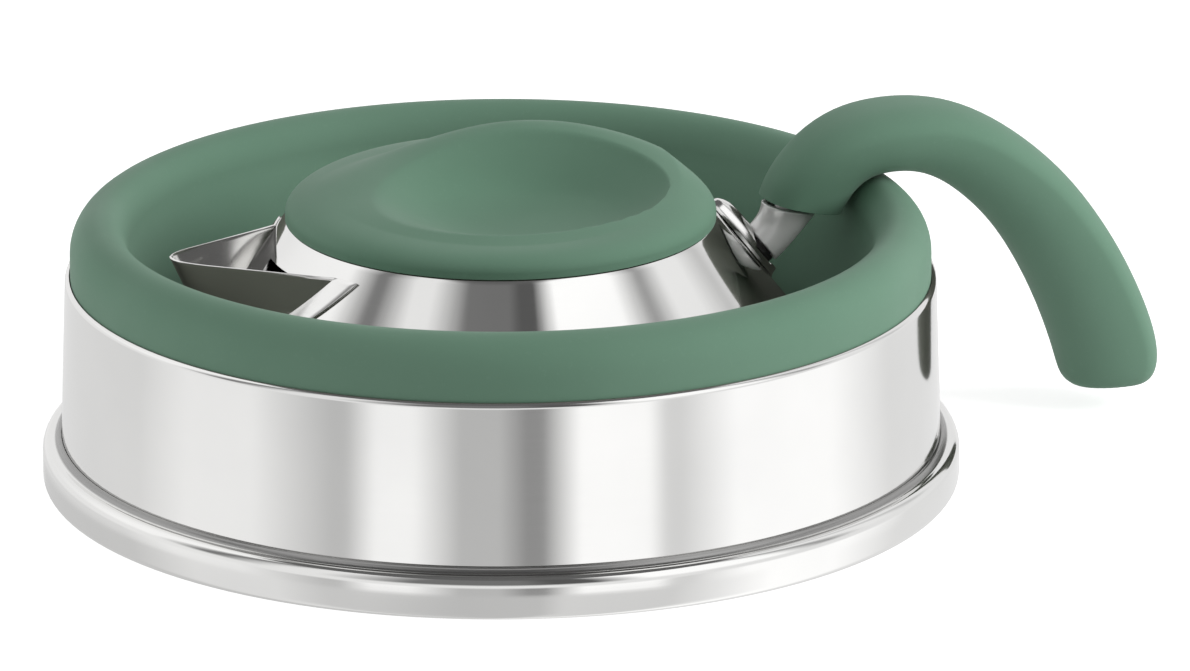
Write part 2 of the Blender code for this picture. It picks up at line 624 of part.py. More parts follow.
def grip_stations():
    """Spine points of the grip, each with its direction across and its half sizes."""
    rim, direction = collar_line(1)
    start = rim + direction * (GRIP_START_LIFT + GAP)
    points = [start - Vector((-direction.z, 0, direction.x)) * GRIP_DEPTH * GRIP_OVERHANG_SHARE]
    for x_share, z_share in GRIP_SPINE_SHARES:
        points.append(Vector((rim.x + x_share * GRIP_REACH, 0, GRIP_END + z_share * (GRIP_TOP - GRIP_END))))
    stations = []
    last = len(points) - 1
    for i, point in enumerate(points):
        along = (points[min(i + 1, last)] - points[max(i - 1, 0)]).normalized()
        if i == 0:
            along = (along + direction * GRIP_START_FOLLOW).normalized()
        across = Vector((-along.z, 0, along.x))
        depth = GRIP_DEPTH * GRIP_DEPTH_SHARES[i] / 2
        width = GRIP_WIDTH * GRIP_WIDTH_SHARES[i] / 2
        stations.append((point, along, across, depth, width))
    return stations


def tang_sizes(index):
    """Half depth and half width of the tang at a station of the grip."""
    share = min(index / TANG_FLATTENING_STATIONS, 1)
    depth = TANG_ROOT_RADIUS + (TANG_HALF_DEPTH - TANG_ROOT_RADIUS) * share
    width = TANG_ROOT_RADIUS + (TANG_HALF_WIDTH - TANG_ROOT_RADIUS) * share
    return depth, width


def tang_rings(stations, extra):
    """Rings of the tang, or of its pocket when extra is its clearance."""
    rings = []
    for i, (point, along, across, _, _) in enumerate(stations[:TANG_LAST_STATION]):
        depth, width = tang_sizes(i)
        middle = point
        if i == 0:
            middle = collar_line(1)[0] + collar_line(1)[1] * (GRIP_START_LIFT + GAP)
        rings.append(frame_ring(middle, across, depth + extra, width + extra, TANG_SIDES))
    return rings


def make_grip():
    stations = grip_stations()
    outer = [frame_ring(point, across, depth, width, GRIP_SIDES, min(GRIP_CROWN, depth))
             for point, along, across, depth, width in stations]
    grip = lofted("handle_grip", outer, silicone("green silicone grip"))
    pocket_rings = tang_rings(stations, GAP)
    first = [point - collar_line(1)[1] * OVERRUN for point in pocket_rings[0]]
    past = stations[TANG_LAST_STATION - 1][1] * 2 * GAP
    pocket_rings[-1] = [point + past for point in pocket_rings[-1]]
    pocket = lofted("cut_grip_pocket", [first] + pocket_rings, STEEL_PLAIN)
    cut(grip, pocket)

    root = []
    for i in range(COLLAR_STATIONS):
        point, direction = collar_line(i / COLLAR_STATIONS)
        across = Vector((-direction.z, 0, direction.x))
        root.append(frame_ring(point, across, TANG_ROOT_RADIUS, TANG_ROOT_RADIUS, TANG_SIDES))
    tang = lofted("handle_tang", root + tang_rings(stations, 0), steel("tang steel", 0.4))
    bottom = WASHER_THICKNESS + 2 * GAP + TAPPED_DEPTH
    hole = cylinder(SCREW_RADIUS + GAP, -OVERRUN, bottom, name="cut_tapped_hole")
    cut(tang, placed(hole, JOINT_POINT, pi / 2 - JOINT_TILT, None))


def make_handle_joint():
    washer = turned("handle_washer", ring_outline(SCREW_RADIUS + GAP, WASHER_RADIUS, 0, WASHER_THICKNESS),
                    finish("dark fibre", (0.03, 0.03, 0.03), 0, 0.6), SMALL_SIDES)
    lean = pi / 2 - JOINT_TILT
    placed(washer, JOINT_POINT + JOINT_AXIS * GAP, lean, None)
    depth = joint_to_dome()
    # The sealing washer is bevelled to the dome's slope by sitting clear of its inside.
    tilt_gap = SEAL_WASHER_RADIUS * tan(JOINT_TILT - (pi / 2 - DOME_SLOPE))
    seat = depth + DOME_SHEET / cos(JOINT_TILT - (pi / 2 - DOME_SLOPE)) + GAP + tilt_gap
    seal_low = -seat - SEAL_WASHER_THICKNESS
    seal = turned("sealing_washer", ring_outline(SCREW_RADIUS + GAP, SEAL_WASHER_RADIUS, seal_low, -seat),
                  finish("white seal", (0.7, 0.7, 0.68), 0, 0.6), SMALL_SIDES)
    placed(seal, JOINT_POINT, lean, None)
    length = -seal_low + GAP + WASHER_THICKNESS + 2 * GAP + SCREW_ENGAGEMENT
    screw = headed_screw("handle_screw", SCREW_RADIUS, length, SCREW_HEAD_RADIUS, SCREW_HEAD_HEIGHT,
                         steel("screw steel", 0.25))
    placed(screw, JOINT_POINT + JOINT_AXIS * (seal_low - GAP), lean, None)


# Lid

LID_FLANGE_Z = DOME_TOP + GAP + LID_SHEET / 2
PLUG_RADIUS = MOUTH_RADIUS - LID_PLUG_CLEARANCE
PLUG_FLOOR = DOME_TOP + GAP - LID_PLUG_DEPTH
COVER_LOW = DOME_TOP + GAP
COVER_EDGE = COVER_LOW + COVER_RIM_HEIGHT


def cover_height(x, y):
    """Height of the lid's silicone top, a domed disc with a scooped finger recess."""
    share = min(hypot(x, y) / LID_RADIUS, 1)
    crown = COVER_CROWN * sqrt(1 - share ** COVER_CROWN_POWER)
    along, beside = x - BOWL_OFFSET, y + BOWL_SIDE_OFFSET
    across = hypot(along / BOWL_HALF_LENGTH, beside / BOWL_HALF_WIDTH)
    turn = atan2(beside, along)
    crisp = ((1 + cos(turn)) / 2) ** BOWL_CRISP_SPREAD
    power = BOWL_SOFT_POWER + (BOWL_CRISP_POWER - BOWL_SOFT_POWER) * crisp
    scoop = BOWL_DEPTH * max(1 - across ** BOWL_FLOOR_POWER, 0) ** power
    high_side = (1 + cos(turn - BOWL_LIP_DIRECTION)) / 2
    edge = max(1 - ((across - BOWL_RIDGE_SHARE) / BOWL_EDGE_SHARE) ** 2, 0) ** 2
    edge *= min((1 - share) * BOWL_FADE_SHARE, 1)
    lip = edge * (BOWL_LIP * high_side ** 3 - BOWL_DIP * (1 - high_side) ** 2)
    return COVER_EDGE + crown - scoop + lip


def polar_grid(bm, radii, height_of):
    """Rings of points round a middle point; returns the rings, the middle first."""
    rings = [[bm.verts.new((0, 0, height_of(0, 0)))]]
    for r in radii:
        ring = []
        for i in range(LID_SIDES):
            a = 2 * pi * i / LID_SIDES
            x, y = r * cos(a), r * sin(a)
            ring.append(bm.verts.new((x, y, height_of(x, y))))
        rings.append(ring)
    return rings


def skin_rings(bm, rings):
    for low, high in zip(rings, rings[1:]):
        for i in range(LID_SIDES):
            j = (i + 1) % LID_SIDES
            if len(low) == 1:
                bm.faces.new((low[0], high[i], high[j]))
            else:
                bm.faces.new((low[i], high[i], high[j], low[j]))


def make_lid():
    half = LID_SHEET / 2
    wall = PLUG_RADIUS - half
    rim = LID_RADIUS - LID_FLANGE_EDGE
    path = [(0, PLUG_FLOOR + half)]
    bend = LID_PLUG_BEND
    path += arc(wall - bend, PLUG_FLOOR + half + bend, bend, bend, -pi / 2, 0)
    path += arc(wall + bend, LID_FLANGE_Z - bend, bend, bend, pi, pi / 2)
    path += [(rim, LID_FLANGE_Z)]
    plate = turned("lid_plate", sheet(path, LID_SHEET), steel("lid steel", 0.25), LID_SIDES)

    core_radius = wall - half - GAP
    pocket_radius = core_radius + GAP
    cover_bottom = LID_FLANGE_Z + half + GAP
    edge_inner = rim + GAP
    crown_radii = [pocket_radius * (i + 1) / LID_RINGS for i in range(LID_RINGS)]
    bm = bmesh.new()
    top = polar_grid(bm, crown_radii + [LID_RADIUS * share for share in LID_RIM_SHARES], cover_height)
    top += polar_grid(bm, [LID_RADIUS], lambda x, y: COVER_EDGE)[1:]
    bottom = polar_grid(bm, crown_radii, lambda x, y: cover_height(x, y) - COVER_SKIN)
    bottom += polar_grid(bm, [pocket_radius + GAP], lambda x, y: cover_bottom)[1:]
    bottom += polar_grid(bm, [edge_inner], lambda x, y: cover_bottom)[1:]
    bottom += polar_grid(bm, [edge_inner], lambda x, y: COVER_LOW)[1:]
    bottom += polar_grid(bm, [LID_RADIUS], lambda x, y: COVER_LOW)[1:]
    skin_rings(bm, top)
    skin_rings(bm, bottom)
    skin_rings(bm, [top[-1], bottom[-1]])
    loose = [point for point in bm.verts if not point.link_faces]
    bmesh.ops.delete(bm, geom=loose, context="VERTS")
    object_from(bm, "lid_cover", silicone("green silicone lid"))

    floor = PLUG_FLOOR + LID_SHEET + GAP
    bm = bmesh.new()
    core_radii = crown_radii[:-1] + [core_radius]
    top = polar_grid(bm, core_radii, lambda x, y: cover_height(x, y) - COVER_SKIN - 2 * GAP)
    bottom = polar_grid(bm, [core_radius - bend], lambda x, y: floor)
    bottom += polar_grid(bm, [core_radius], lambda x, y: floor + bend)[1:]
    skin_rings(bm, top)
    skin_rings(bm, bottom)
    skin_rings(bm, [top[-1], bottom[-1]])
    loose = [point for point in bm.verts if not point.link_faces]
    bmesh.ops.delete(bm, geom=loose, context="VERTS")
    core = object_from(bm, "lid_core", finish("grey nylon", (0.25, 0.26, 0.26), 0, 0.5))

    seal_inner = PLUG_RADIUS + GAP
    seal_outer = MOUTH_RADIUS - GAP
    seal_low = PLUG_FLOOR + LID_PLUG_BEND
    seal_high = seal_low + SEAL_HEIGHT
    outline = [(seal_inner, seal_low)]
    for up_share, in_share in SEAL_PROFILE_SHARES:
        outline.append((seal_outer - SEAL_LIP * in_share, seal_low + SEAL_HEIGHT * up_share))
    outline.append((seal_inner, seal_high))
    turned("lid_seal", outline, finish("clear silicone seal", (0.55, 0.57, 0.55), 0, 0.5), LID_SIDES)

    for i in range(LID_SCREWS):
        a = 2 * pi * (i + 0.5) / LID_SCREWS
        x, y = LID_SCREW_CIRCLE * cos(a), LID_SCREW_CIRCLE * sin(a)
        screw = headed_screw("lid_screw_" + str(i + 1), LID_SCREW_RADIUS, GAP + LID_SHEET + LID_SCREW_GRIP,
                             LID_SCREW_HEAD_RADIUS, LID_SCREW_HEAD, steel("screw steel", 0.25))
        screw.location = (x, y, PLUG_FLOOR - GAP)
        hole_top = PLUG_FLOOR + LID_SHEET + LID_SCREW_GRIP + GAP
        name = "cut_lid_screw_" + str(i + 1)
        hole = cylinder(LID_SCREW_RADIUS + GAP, PLUG_FLOOR - OVERRUN, hole_top, x, y, name=name)
        cut(plate, hole)
        cut(core, hole)


clear_scene()
STEEL_PLAIN = steel("plain steel")
make_base()
make_wall()
make_dome()
make_spout()
make_bracket(dome_clearance())
make_handle_joint()
make_collar()
make_grip()
make_lid()
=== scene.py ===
"""Looks of a collapsible camping kettle, dressed over its packed working model.

Metres, +Z up. The kettle stands folded on its wide steel base, +X points to the handle
and -X to the spout. Every piece here rides on a body of the working model.
"""

from math import atan2, ceil, cos, hypot, pi, radians, sin, sqrt, tan

import bpy
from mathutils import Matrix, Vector
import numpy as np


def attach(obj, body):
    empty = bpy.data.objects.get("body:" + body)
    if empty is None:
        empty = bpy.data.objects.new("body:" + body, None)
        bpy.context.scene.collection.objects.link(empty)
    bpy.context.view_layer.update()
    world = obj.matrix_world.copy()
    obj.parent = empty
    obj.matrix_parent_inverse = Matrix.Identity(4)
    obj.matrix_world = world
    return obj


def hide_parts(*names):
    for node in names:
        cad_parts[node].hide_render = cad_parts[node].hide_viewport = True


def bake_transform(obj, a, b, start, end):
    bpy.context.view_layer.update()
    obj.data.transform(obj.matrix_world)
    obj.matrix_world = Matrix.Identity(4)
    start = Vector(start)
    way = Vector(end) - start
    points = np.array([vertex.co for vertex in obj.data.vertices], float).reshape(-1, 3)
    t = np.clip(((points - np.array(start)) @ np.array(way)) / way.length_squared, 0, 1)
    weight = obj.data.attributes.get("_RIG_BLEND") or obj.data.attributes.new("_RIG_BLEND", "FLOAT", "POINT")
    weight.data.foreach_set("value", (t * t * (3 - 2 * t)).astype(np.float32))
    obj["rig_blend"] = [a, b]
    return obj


bl_info = {
    "name": "Collapsible Kettle",
    "version": (1, 0, 0),
    "blender": (4, 5, 0),
    "location": "View3D > Sidebar > Kettle",
    "description": "Dresses a folding camping kettle: steel base, silicone wall, dome, spout, grip and lid",
    "category": "Object",
}

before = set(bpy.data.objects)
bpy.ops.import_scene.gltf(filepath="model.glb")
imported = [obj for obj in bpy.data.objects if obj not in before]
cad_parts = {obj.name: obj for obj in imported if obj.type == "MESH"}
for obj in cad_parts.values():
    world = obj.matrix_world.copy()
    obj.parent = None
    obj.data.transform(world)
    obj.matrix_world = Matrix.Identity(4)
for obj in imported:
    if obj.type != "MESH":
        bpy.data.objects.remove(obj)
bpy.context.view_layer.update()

MM = 0.001
GAP = 0.3 * MM                   # between pieces that touch
BRAZED_GAP = 0.05 * MM           # where two pieces are brazed or lie on each other
MERGE = 0.001 * MM
START_SIZE = 1.0 * MM            # of the plane that a drawn line starts from
OVERRUN = 6.0 * MM               # how far a cutter passes what it cuts
GRID_SIZE = 1.0                  # of a grid before its points are moved onto rings
STRAIGHT_MARGIN = 1.0 * MM       # from a straight's ends to the points that keep its shading even
ROUND_STEPS = 144
ARC_STEP = radians(9)
SMOOTH_ANGLE = radians(38)
EDGE_ANGLE = radians(50)         # edges sharper than this are rounded off
SHEET_ROUNDING = 0.2 * MM

PAN_RIM_ANGLE = radians(75)
VALLEY_ANGLE = radians(78)
WALL_ROUNDING = 0.5 * MM

SPOUT_FOLD_POWER = 0.68
SPOUT_BEND_SHARE = 0.33          # of each side wall, taken by the rounded keel
SPOUT_OPENING_SHARE = 0.32       # of the dome between the fold lines, taken by the pouring hole
SPOUT_COLUMNS = (4, 10)          # across each flat side, and round the keel
SPOUT_ROWS = 24

# Rings of the boss from its foot up, as shares of its reach and width, then of its height
# up the dome from the handle's seat and below it.
BRACKET_SHARES = (
    (1.00, 1.00, 0.00, 0.00), (0.965, 0.86, 0.12, 0.24), (0.95, 0.78, 0.27, 0.50),
    (0.935, 0.72, 0.44, 0.84), (0.92, 0.70, 0.55, 1.00), (0.85, 0.60, 0.75, 1.00),
    (0.78, 0.50, 0.88, 1.00), (0.69, 0.39, 0.95, 1.00), (0.60, 0.28, 0.98, 1.00),
    (0.40, 0.12, 1.00, 1.00),
)
BRACKET_RIDGE_SPREAD = 2.0
BRACKET_SIDES = 64
BRACKET_ROUNDING = 0.25 * MM
BRACKET_EDGE_ANGLE = radians(40)

COLLAR_SIDES = 48
COLLAR_ROWS = 20
COLLAR_FLARE_POWER = 3
COLLAR_ROUNDING = 0.35 * MM
FINE_SEGMENTS = 3                # round an edge that shows from close by

# The grip's spine, as shares of its reach and of its height above the free end,
# with its depth and width there as shares of the full ones.
GRIP_STATIONS = (
    (0.050, 0.820, 0.84, 0.74), (0.115, 0.925, 0.76, 0.86), (0.200, 0.985, 0.71, 0.94),
    (0.292, 1.000, 0.70, 0.99), (0.385, 0.995, 0.72, 1.00), (0.480, 0.963, 0.77, 1.00),
    (0.573, 0.900, 0.81, 1.00), (0.668, 0.807, 0.85, 1.00), (0.751, 0.700, 0.89, 1.00),
    (0.822, 0.577, 0.93, 1.00), (0.887, 0.440, 0.97, 1.00), (0.942, 0.293, 1.00, 1.00),
    (0.980, 0.165, 1.02, 0.98), (0.995, 0.080, 1.00, 0.93), (1.000, 0.028, 0.90, 0.83),
    (1.000, 0.000, 0.70, 0.64),
)
GRIP_START_SHARES = (0.84, 0.67)
GRIP_OVERHANG_SHARE = 0.12
GRIP_START_FOLLOW = 3.0
GRIP_SIDES = 40
GRIP_SQUARENESS = 0.80           # below one the sides of the section stay fuller
GRIP_ROUNDING = 1.2 * MM

COVER_CROWN_POWER = 4.0
BOWL_RIDGE_SHARE = 1.15          # of the recess's size, where the ridge round it is highest
BOWL_EDGE_SHARE = 0.5
BOWL_FLOOR_POWER = 3.0           # the higher, the flatter the recess's floor
BOWL_FADE_SHARE = 6.0
BOWL_SOFT_POWER = 1.6            # of the recess's edge away from the handle
BOWL_CRISP_POWER = 0.8           # and of the edge towards the handle
BOWL_CRISP_SPREAD = 0.6          # how far that crisp edge reaches round
LID_COLUMNS = 240
LID_ROWS = 96


# Lengths in millimetres: name, description and default
LENGTHS = {
    "base_radius": ("Outer radius of the capsule base", 107.5),
    "cap_height": ("Height of the ledge round the pan", 10.2),
    "cap_sheet": ("Thickness of the capsule's steel", 0.8),
    "cap_foot": ("Rounding at the table", 1.4),
    "cap_shoulder_depth": ("Rounding of the ledge's edge, across", 1.5),
    "cap_shoulder_drop": ("Rounding of the ledge's edge, down", 2.3),
    "cap_neck": ("Hollow bend from the ledge up the pan", 1.7),
    "core": ("Thickness of the aluminium disc", 6.5),

    "pan_radius": ("Outer radius of the pan at its floor", 103.1),
    "pan_taper": ("How much narrower the pan is at its rim", 1.3),
    "pan_top": ("Height of the pan's rim", 49.7),
    "pan_sheet": ("Thickness of the pan's steel", 0.8),
    "pan_floor_bend": ("Bend between floor and wall", 1.5),
    "pan_rim_bend": ("Bend of the rim over the silicone", 1.0),

    "wall": ("Thickness of the folding silicone wall", 2.4),
    "wall_radius": ("Outer radius of the silicone in the pan's rim", 100.52),
    "crest_radius": ("Radius of the fold's highest line", 93.1),
    "crest_top": ("Height of the fold", 63.8),
    "crest_drop": ("Height of the fold's rounding", 7.6),
    "crest_inner": ("From the crest in to the inner slope", 5.0),
    "valley_bend": ("Bend at the foot of the inner slope", 3.6),
    "wall_depth": ("How far the silicone reaches into the pan", 6.4),

    "ring_sheet": ("Thickness of the rings that trap the silicone", 0.8),
    "ring_drop": ("Rim ring below the pan's rim", 0.4),
    "ring_leg": ("Height of the ring in the dome's skirt", 5.4),

    "dome_sheet": ("Thickness of the dome's steel", 0.8),
    "dome_top": ("Height of the mouth's edge", 62.8),
    "shoulder_radius": ("Radius of the dome at its mouth", 50.4),
    "shoulder_bend": ("Bend from the mouth to the cone", 1.0),
    "skirt_radius": ("Radius of the dome's upright skirt", 73.8),
    "skirt_bend": ("Bend from the cone to the skirt", 3.0),
    "skirt_height": ("Upright part of the skirt", 1.6),
    "flange": ("Flange over the silicone's inner lip", 3.2),
    "flange_bend": ("Bend from the skirt to its flange", 0.8),
    "mouth_radius": ("Inner radius of the mouth", 46.6),
    "mouth_depth": ("Depth of the mouth's collar", 7.8),

    "spout_sheet": ("Thickness of the spout's steel", 0.5),
    "spout_to_crest": ("From the spout's lip to the fold's crest", 12.4),
    "spout_lip": ("Height of the pouring lip", 61.1),
    "spout_root": ("Height where the sides meet the dome", 59.3),
    "spout_foot": ("Height where the keel meets the dome", 39.5),
    "spout_stand": ("Stand of the keel off the dome", 1.6),
    "spout_flange": ("Width of the flanges on the dome", 7.0),
    "opening_drop": ("Steel left above the pouring hole", 2.8),
    "opening_rise": ("Steel left below the pouring hole", 9.0),

    "joint_stand": ("Middle of the handle's joint off the dome, level", 2.25),
    "joint_height": ("Middle of the handle's joint above the table", 48.2),
    "bracket_width": ("Half width of the leaf-shaped boss", 7.0),
    "bracket_up": ("Reach of the boss up the dome", 18.0),
    "bracket_down": ("Reach of the boss down the dome", 7.5),
    "bracket_ridge": ("Height of the boss above the seat", 4.2),
    "bracket_seat": ("Radius of the handle's seat", 5.7),
    "bracket_seat_rim": ("Stands above the seat on the low side", 0.3),
    "washer": ("Thickness of the dark washer", 1.2),
    "collar_foot": ("Radius of the collar at the washer", 5.1),
    "collar_waist": ("Radius of the collar's waist", 5.15),
    "collar_rim": ("Radius of the flared rim", 6.6),
    "collar_wall": ("Wall of the collar", 1.2),
    "collar_out": ("From the joint to the rim, outwards", 8.4),
    "collar_up": ("From the joint to the rim, upwards", 9.5),

    "grip_reach": ("From the collar out to the free end", 82.0),
    "grip_top": ("Height of the spine's highest point", 72.9),
    "grip_end": ("Height of the spine's free end", 5.5),
    "grip_depth": ("Depth of the grip across its spine", 23.5),
    "grip_width": ("Width of the grip", 25.0),
    "grip_crown": ("From the widest line out to the crown", 6.0),
    "grip_lift": ("Start of the grip above the collar", 0.6),

    "lid_radius": ("Outer radius of the lid", 50.3),
    "lid_sheet": ("Thickness of the lid's plate", 0.7),
    "plug_depth": ("Depth of the plug in the mouth", 7.0),
    "plug_clearance": ("Room for the seal round the plug", 1.65),
    "plug_bend": ("Bend of the plug's foot and top", 1.2),
    "plate_inset": ("From the lid's edge in to the plate's", 1.7),
    "cover_skin": ("Thickness of the silicone top", 2.3),
    "cover_rim": ("Upright edge of the lid", 1.1),
    "cover_crown": ("Rise of the lid's top", 8.6),
    "bowl_offset": ("Recess's middle, towards the handle", 1.0),
    "bowl_side": ("Recess's middle, across", -11.0),
    "bowl_length": ("Half length of the finger recess", 35.5),
    "bowl_width": ("Half width of the finger recess", 26.5),
    "bowl_depth": ("Depth of the finger recess", 9.6),
    "bowl_lip": ("Rise of the recess's edge", 7.0),
    "bowl_dip": ("Fall of the edge on its low side", 2.0),

    "travel": ("How far the top rises when the wall is unfolded", 70.0),
}

# Angles in degrees
ANGLES = {
    "dome_slope": ("Slope of the cone below the horizontal", 52.0),
    "spout_root_angle": ("Half the spread of the sides at the dome", 23.0),
    "joint_tilt": ("Lean of the screw above the horizontal", 38.5),
    "collar_tilt": ("Lean of the rim above the horizontal", 77.0),
    "bowl_turn": ("Direction of the recess's high side", 68.0),
}

COLOURS = {
    "silicone": ("Sage green of the wall, lid and grip", (0.158, 0.290, 0.205)),
    "silicone_worn": ("Paler green where hands polish it", (0.190, 0.328, 0.240)),
    # Painted reflection: the silicone takes this darker grey only where the steel mirrors it, standing in
    # for the shade it lies in
    "silicone_mirrored": ("Greyer tone of it that the steel shows", (0.13, 0.14, 0.115)),
    "steel": ("Polished stainless steel", (0.830, 0.826, 0.815)),
    # Painted light: a paler copy of the steel that lifts the collar in the grip's shade, standing in for its
    # bright reflection
    "tumbled": ("Steel of the handle's fittings", (0.930, 0.926, 0.915)),
    "steel_rubbed": ("Where the polish is rubbed", (0.770, 0.768, 0.760)),
    # Darker, duller steel on the ledge round the pan and on the bend up to it
    "seam": ("Dull steel where the capsule is brazed round the pan", (0.340, 0.338, 0.334)),
    "satin": ("Inside faces and fasteners", (0.610, 0.607, 0.600)),
    "aluminium": ("Heat spreader", (0.640, 0.640, 0.635)),
    "fibre": ("Dark washer under the collar", (0.022, 0.021, 0.020)),
    "nylon": ("Core of the lid", (0.240, 0.250, 0.250)),
    "seal": ("Translucent seals", (0.560, 0.580, 0.560)),
    "floor": ("Pale floor under the kettle", (0.800, 0.800, 0.800)),
}


def properties(kind, table, scaled, **settings):
    """Properties for a table of names, each with its description and its default."""
    return {name: kind(name=name.replace("_", " ").capitalize(), description=text,
                       default=scaled(value), **settings)
            for name, (text, value) in table.items()}


class KettleSizes(bpy.types.PropertyGroup):
    """Sizes of the kettle's pieces."""

    __annotations__ = {
        **properties(bpy.props.FloatProperty, LENGTHS, lambda size: size * MM,
                     unit="LENGTH", precision=4, step=1),
        **properties(bpy.props.FloatProperty, ANGLES, radians, unit="ROTATION", subtype="ANGLE"),
    }


class KettleColours(bpy.types.PropertyGroup):
    """Colours of the kettle's finishes."""

    __annotations__ = properties(bpy.props.FloatVectorProperty, COLOURS, tuple,
                                 size=3, min=0, max=1, subtype="COLOR")


def sizes():
    return bpy.context.scene.kettle_sizes


def colours():
    return bpy.context.scene.kettle_colours


# Lines that pieces are turned or bent to, as (radius, height) points

def arc(centre_r, centre_z, radius, start, end, rise=None):
    """Points on an arc, both ends included; rise is its upright radius, if another."""
    steps = max(2, ceil(abs(end - start) / ARC_STEP))
    angles = [start + (end - start) * i / steps for i in range(steps + 1)]
    return [(centre_r + radius * cos(a), centre_z + (rise or radius) * sin(a)) for a in angles]


def pan_floor(s):
    return s.cap_sheet + GAP + s.core + GAP


def pan_radius_at(s, height):
    floor = pan_floor(s)
    return s.pan_radius - s.pan_taper * (height - floor) / (s.pan_top - floor)


def cap_line(s):
    half = s.cap_sheet / 2
    wall = s.base_radius - half
    ledge = s.cap_height - half
    neck = pan_radius_at(s, s.cap_height) + BRAZED_GAP + half
    line = [(0, half)]
    line += arc(wall - s.cap_foot, half + s.cap_foot, s.cap_foot, -pi / 2, 0)
    line += arc(wall - s.cap_shoulder_depth, ledge - s.cap_shoulder_drop,
                s.cap_shoulder_depth, 0, pi / 2, s.cap_shoulder_drop)
    line += arc(neck + s.cap_neck, ledge + s.cap_neck, s.cap_neck, -pi / 2, -pi)
    return line


def straight_to(line, bend):
    """A line run on to a bend, with a point by each end that keeps the straight's shading even."""
    (radius, height), (last_radius, last_height) = line[-1], bend[0]
    share = STRAIGHT_MARGIN / hypot(last_radius - radius, last_height - height)
    ends = [(radius + (last_radius - radius) * t, height + (last_height - height) * t)
            for t in (share, 1 - share)]
    return line + ends + bend


def pan_line(s):
    half = s.pan_sheet / 2
    floor = pan_floor(s) + half
    wall = s.pan_radius - half
    line = [(0, floor)]
    line += arc(wall - s.pan_floor_bend, floor + s.pan_floor_bend, s.pan_floor_bend, -pi / 2, 0)
    return straight_to(line, arc(wall - s.pan_taper - s.pan_rim_bend, s.pan_top - half - s.pan_rim_bend,
                                 s.pan_rim_bend, 0, PAN_RIM_ANGLE))


def rim_ring_line(s):
    half = s.ring_sheet / 2
    leg = s.wall_radius - s.wall - GAP - half
    foot = s.pan_top - s.wall_depth - GAP - half
    outside = pan_radius_at(s, foot) - s.pan_sheet - GAP - half
    return [(outside, foot), (leg, foot), (leg, s.pan_top - s.ring_drop)]


def cone_top(s):
    return s.dome_top - s.shoulder_bend * (1 - cos(s.dome_slope))


def cone_top_radius(s):
    return s.shoulder_radius - s.shoulder_bend * (1 - sin(s.dome_slope))


def cone_radius(s, height, stand_off=0.0):
    """Radius of the dome's outside at a height, or of a surface parallel to it."""
    return cone_top_radius(s) + (cone_top(s) - height) / tan(s.dome_slope) + stand_off / sin(s.dome_slope)


def cone_height(s, radius):
    return cone_top(s) - (radius - cone_top_radius(s)) * tan(s.dome_slope)


def skirt_bend_height(s):
    return cone_height(s, s.skirt_radius) - s.skirt_bend * tan((pi / 2 - s.dome_slope) / 2)


def flange_height(s):
    return skirt_bend_height(s) - s.skirt_height - s.flange_bend


def dome_line(s):
    half = s.dome_sheet / 2
    mouth = s.mouth_radius + half
    bend = s.shoulder_bend
    line = [(mouth, s.dome_top - s.mouth_depth)]
    line += arc(mouth + bend, s.dome_top - half - bend, bend, pi, pi / 2)
    line += arc(s.shoulder_radius - bend, s.dome_top - bend, bend - half, pi / 2,
                pi / 2 - s.dome_slope)
    skirt = s.skirt_bend - half
    line = straight_to(line, arc(s.skirt_radius - s.skirt_bend, skirt_bend_height(s), skirt,
                                 pi / 2 - s.dome_slope, 0))
    line += arc(s.skirt_radius - half + s.flange_bend, flange_height(s) + s.flange_bend,
                s.flange_bend, pi, 3 * pi / 2)
    line += [(s.skirt_radius + s.flange, flange_height(s))]
    return line


def lip_height(s):
    """Middle of the silicone's inner lip, under the dome's flange."""
    return flange_height(s) - s.dome_sheet / 2 - GAP - s.wall / 2


def dome_ring_line(s):
    half = s.ring_sheet / 2
    leg = s.skirt_radius - s.dome_sheet - GAP - half
    foot = lip_height(s) - s.wall / 2 - GAP - half
    return [(leg, foot - half + s.ring_leg), (leg, foot), (s.skirt_radius + s.flange, foot)]


def wall_line(s):
    """Middle of the silicone, from the dome's flange over the crest into the pan's rim."""
    valley = s.skirt_radius + s.flange + 2 * GAP
    lip = lip_height(s)
    crest = s.crest_top - s.wall / 2 - s.crest_drop
    outside = s.wall_radius - s.wall / 2
    line = [(s.skirt_radius - GAP, lip)]
    line += arc(valley, lip + s.valley_bend, s.valley_bend, -pi / 2, VALLEY_ANGLE - pi / 2)
    line += [(s.crest_radius - s.crest_inner, crest)]
    line = evened(line, s.wall)
    line += arc(s.crest_radius, crest, s.crest_inner, pi, pi / 2, s.crest_drop)[1:]
    line += arc(s.crest_radius, crest, outside - s.crest_radius, pi / 2, 0, s.crest_drop)[1:]
    line += evened([(outside, crest), (outside, s.pan_top - s.wall_depth)], s.wall)[1:]
    return line


def evened(line, step):
    """The same line with points added, so that none lie further apart than a step."""
    dense = [line[0]]
    for (r0, z0), (r1, z1) in zip(line, line[1:]):
        count = max(1, ceil(hypot(r1 - r0, z1 - z0) / step))
        for i in range(1, count + 1):
            share = i / count
            dense.append((r0 + (r1 - r0) * share, z0 + (z1 - z0) * share))
    return dense


def plate_line(s):
    half = s.lid_sheet / 2
    wall = s.mouth_radius - s.plug_clearance - half
    floor = s.dome_top + GAP - s.plug_depth + half
    flange = s.dome_top + GAP + half
    line = [(0, floor)]
    line += arc(wall - s.plug_bend, floor + s.plug_bend, s.plug_bend, -pi / 2, 0)
    line += arc(wall + s.plug_bend, flange - s.plug_bend, s.plug_bend, pi, pi / 2)
    line += [(s.lid_radius - s.plate_inset, flange)]
    return line


# Ways of making a mesh

def select_only(piece):
    bpy.ops.object.select_all(action="DESELECT")
    bpy.context.view_layer.objects.active = piece
    piece.select_set(True)


def close_mesh():
    """Turn the faces outwards and leave edit mode."""
    bpy.ops.mesh.select_all(action="SELECT")
    bpy.ops.mesh.normals_make_consistent(inside=False)
    bpy.ops.object.mode_set(mode="OBJECT")


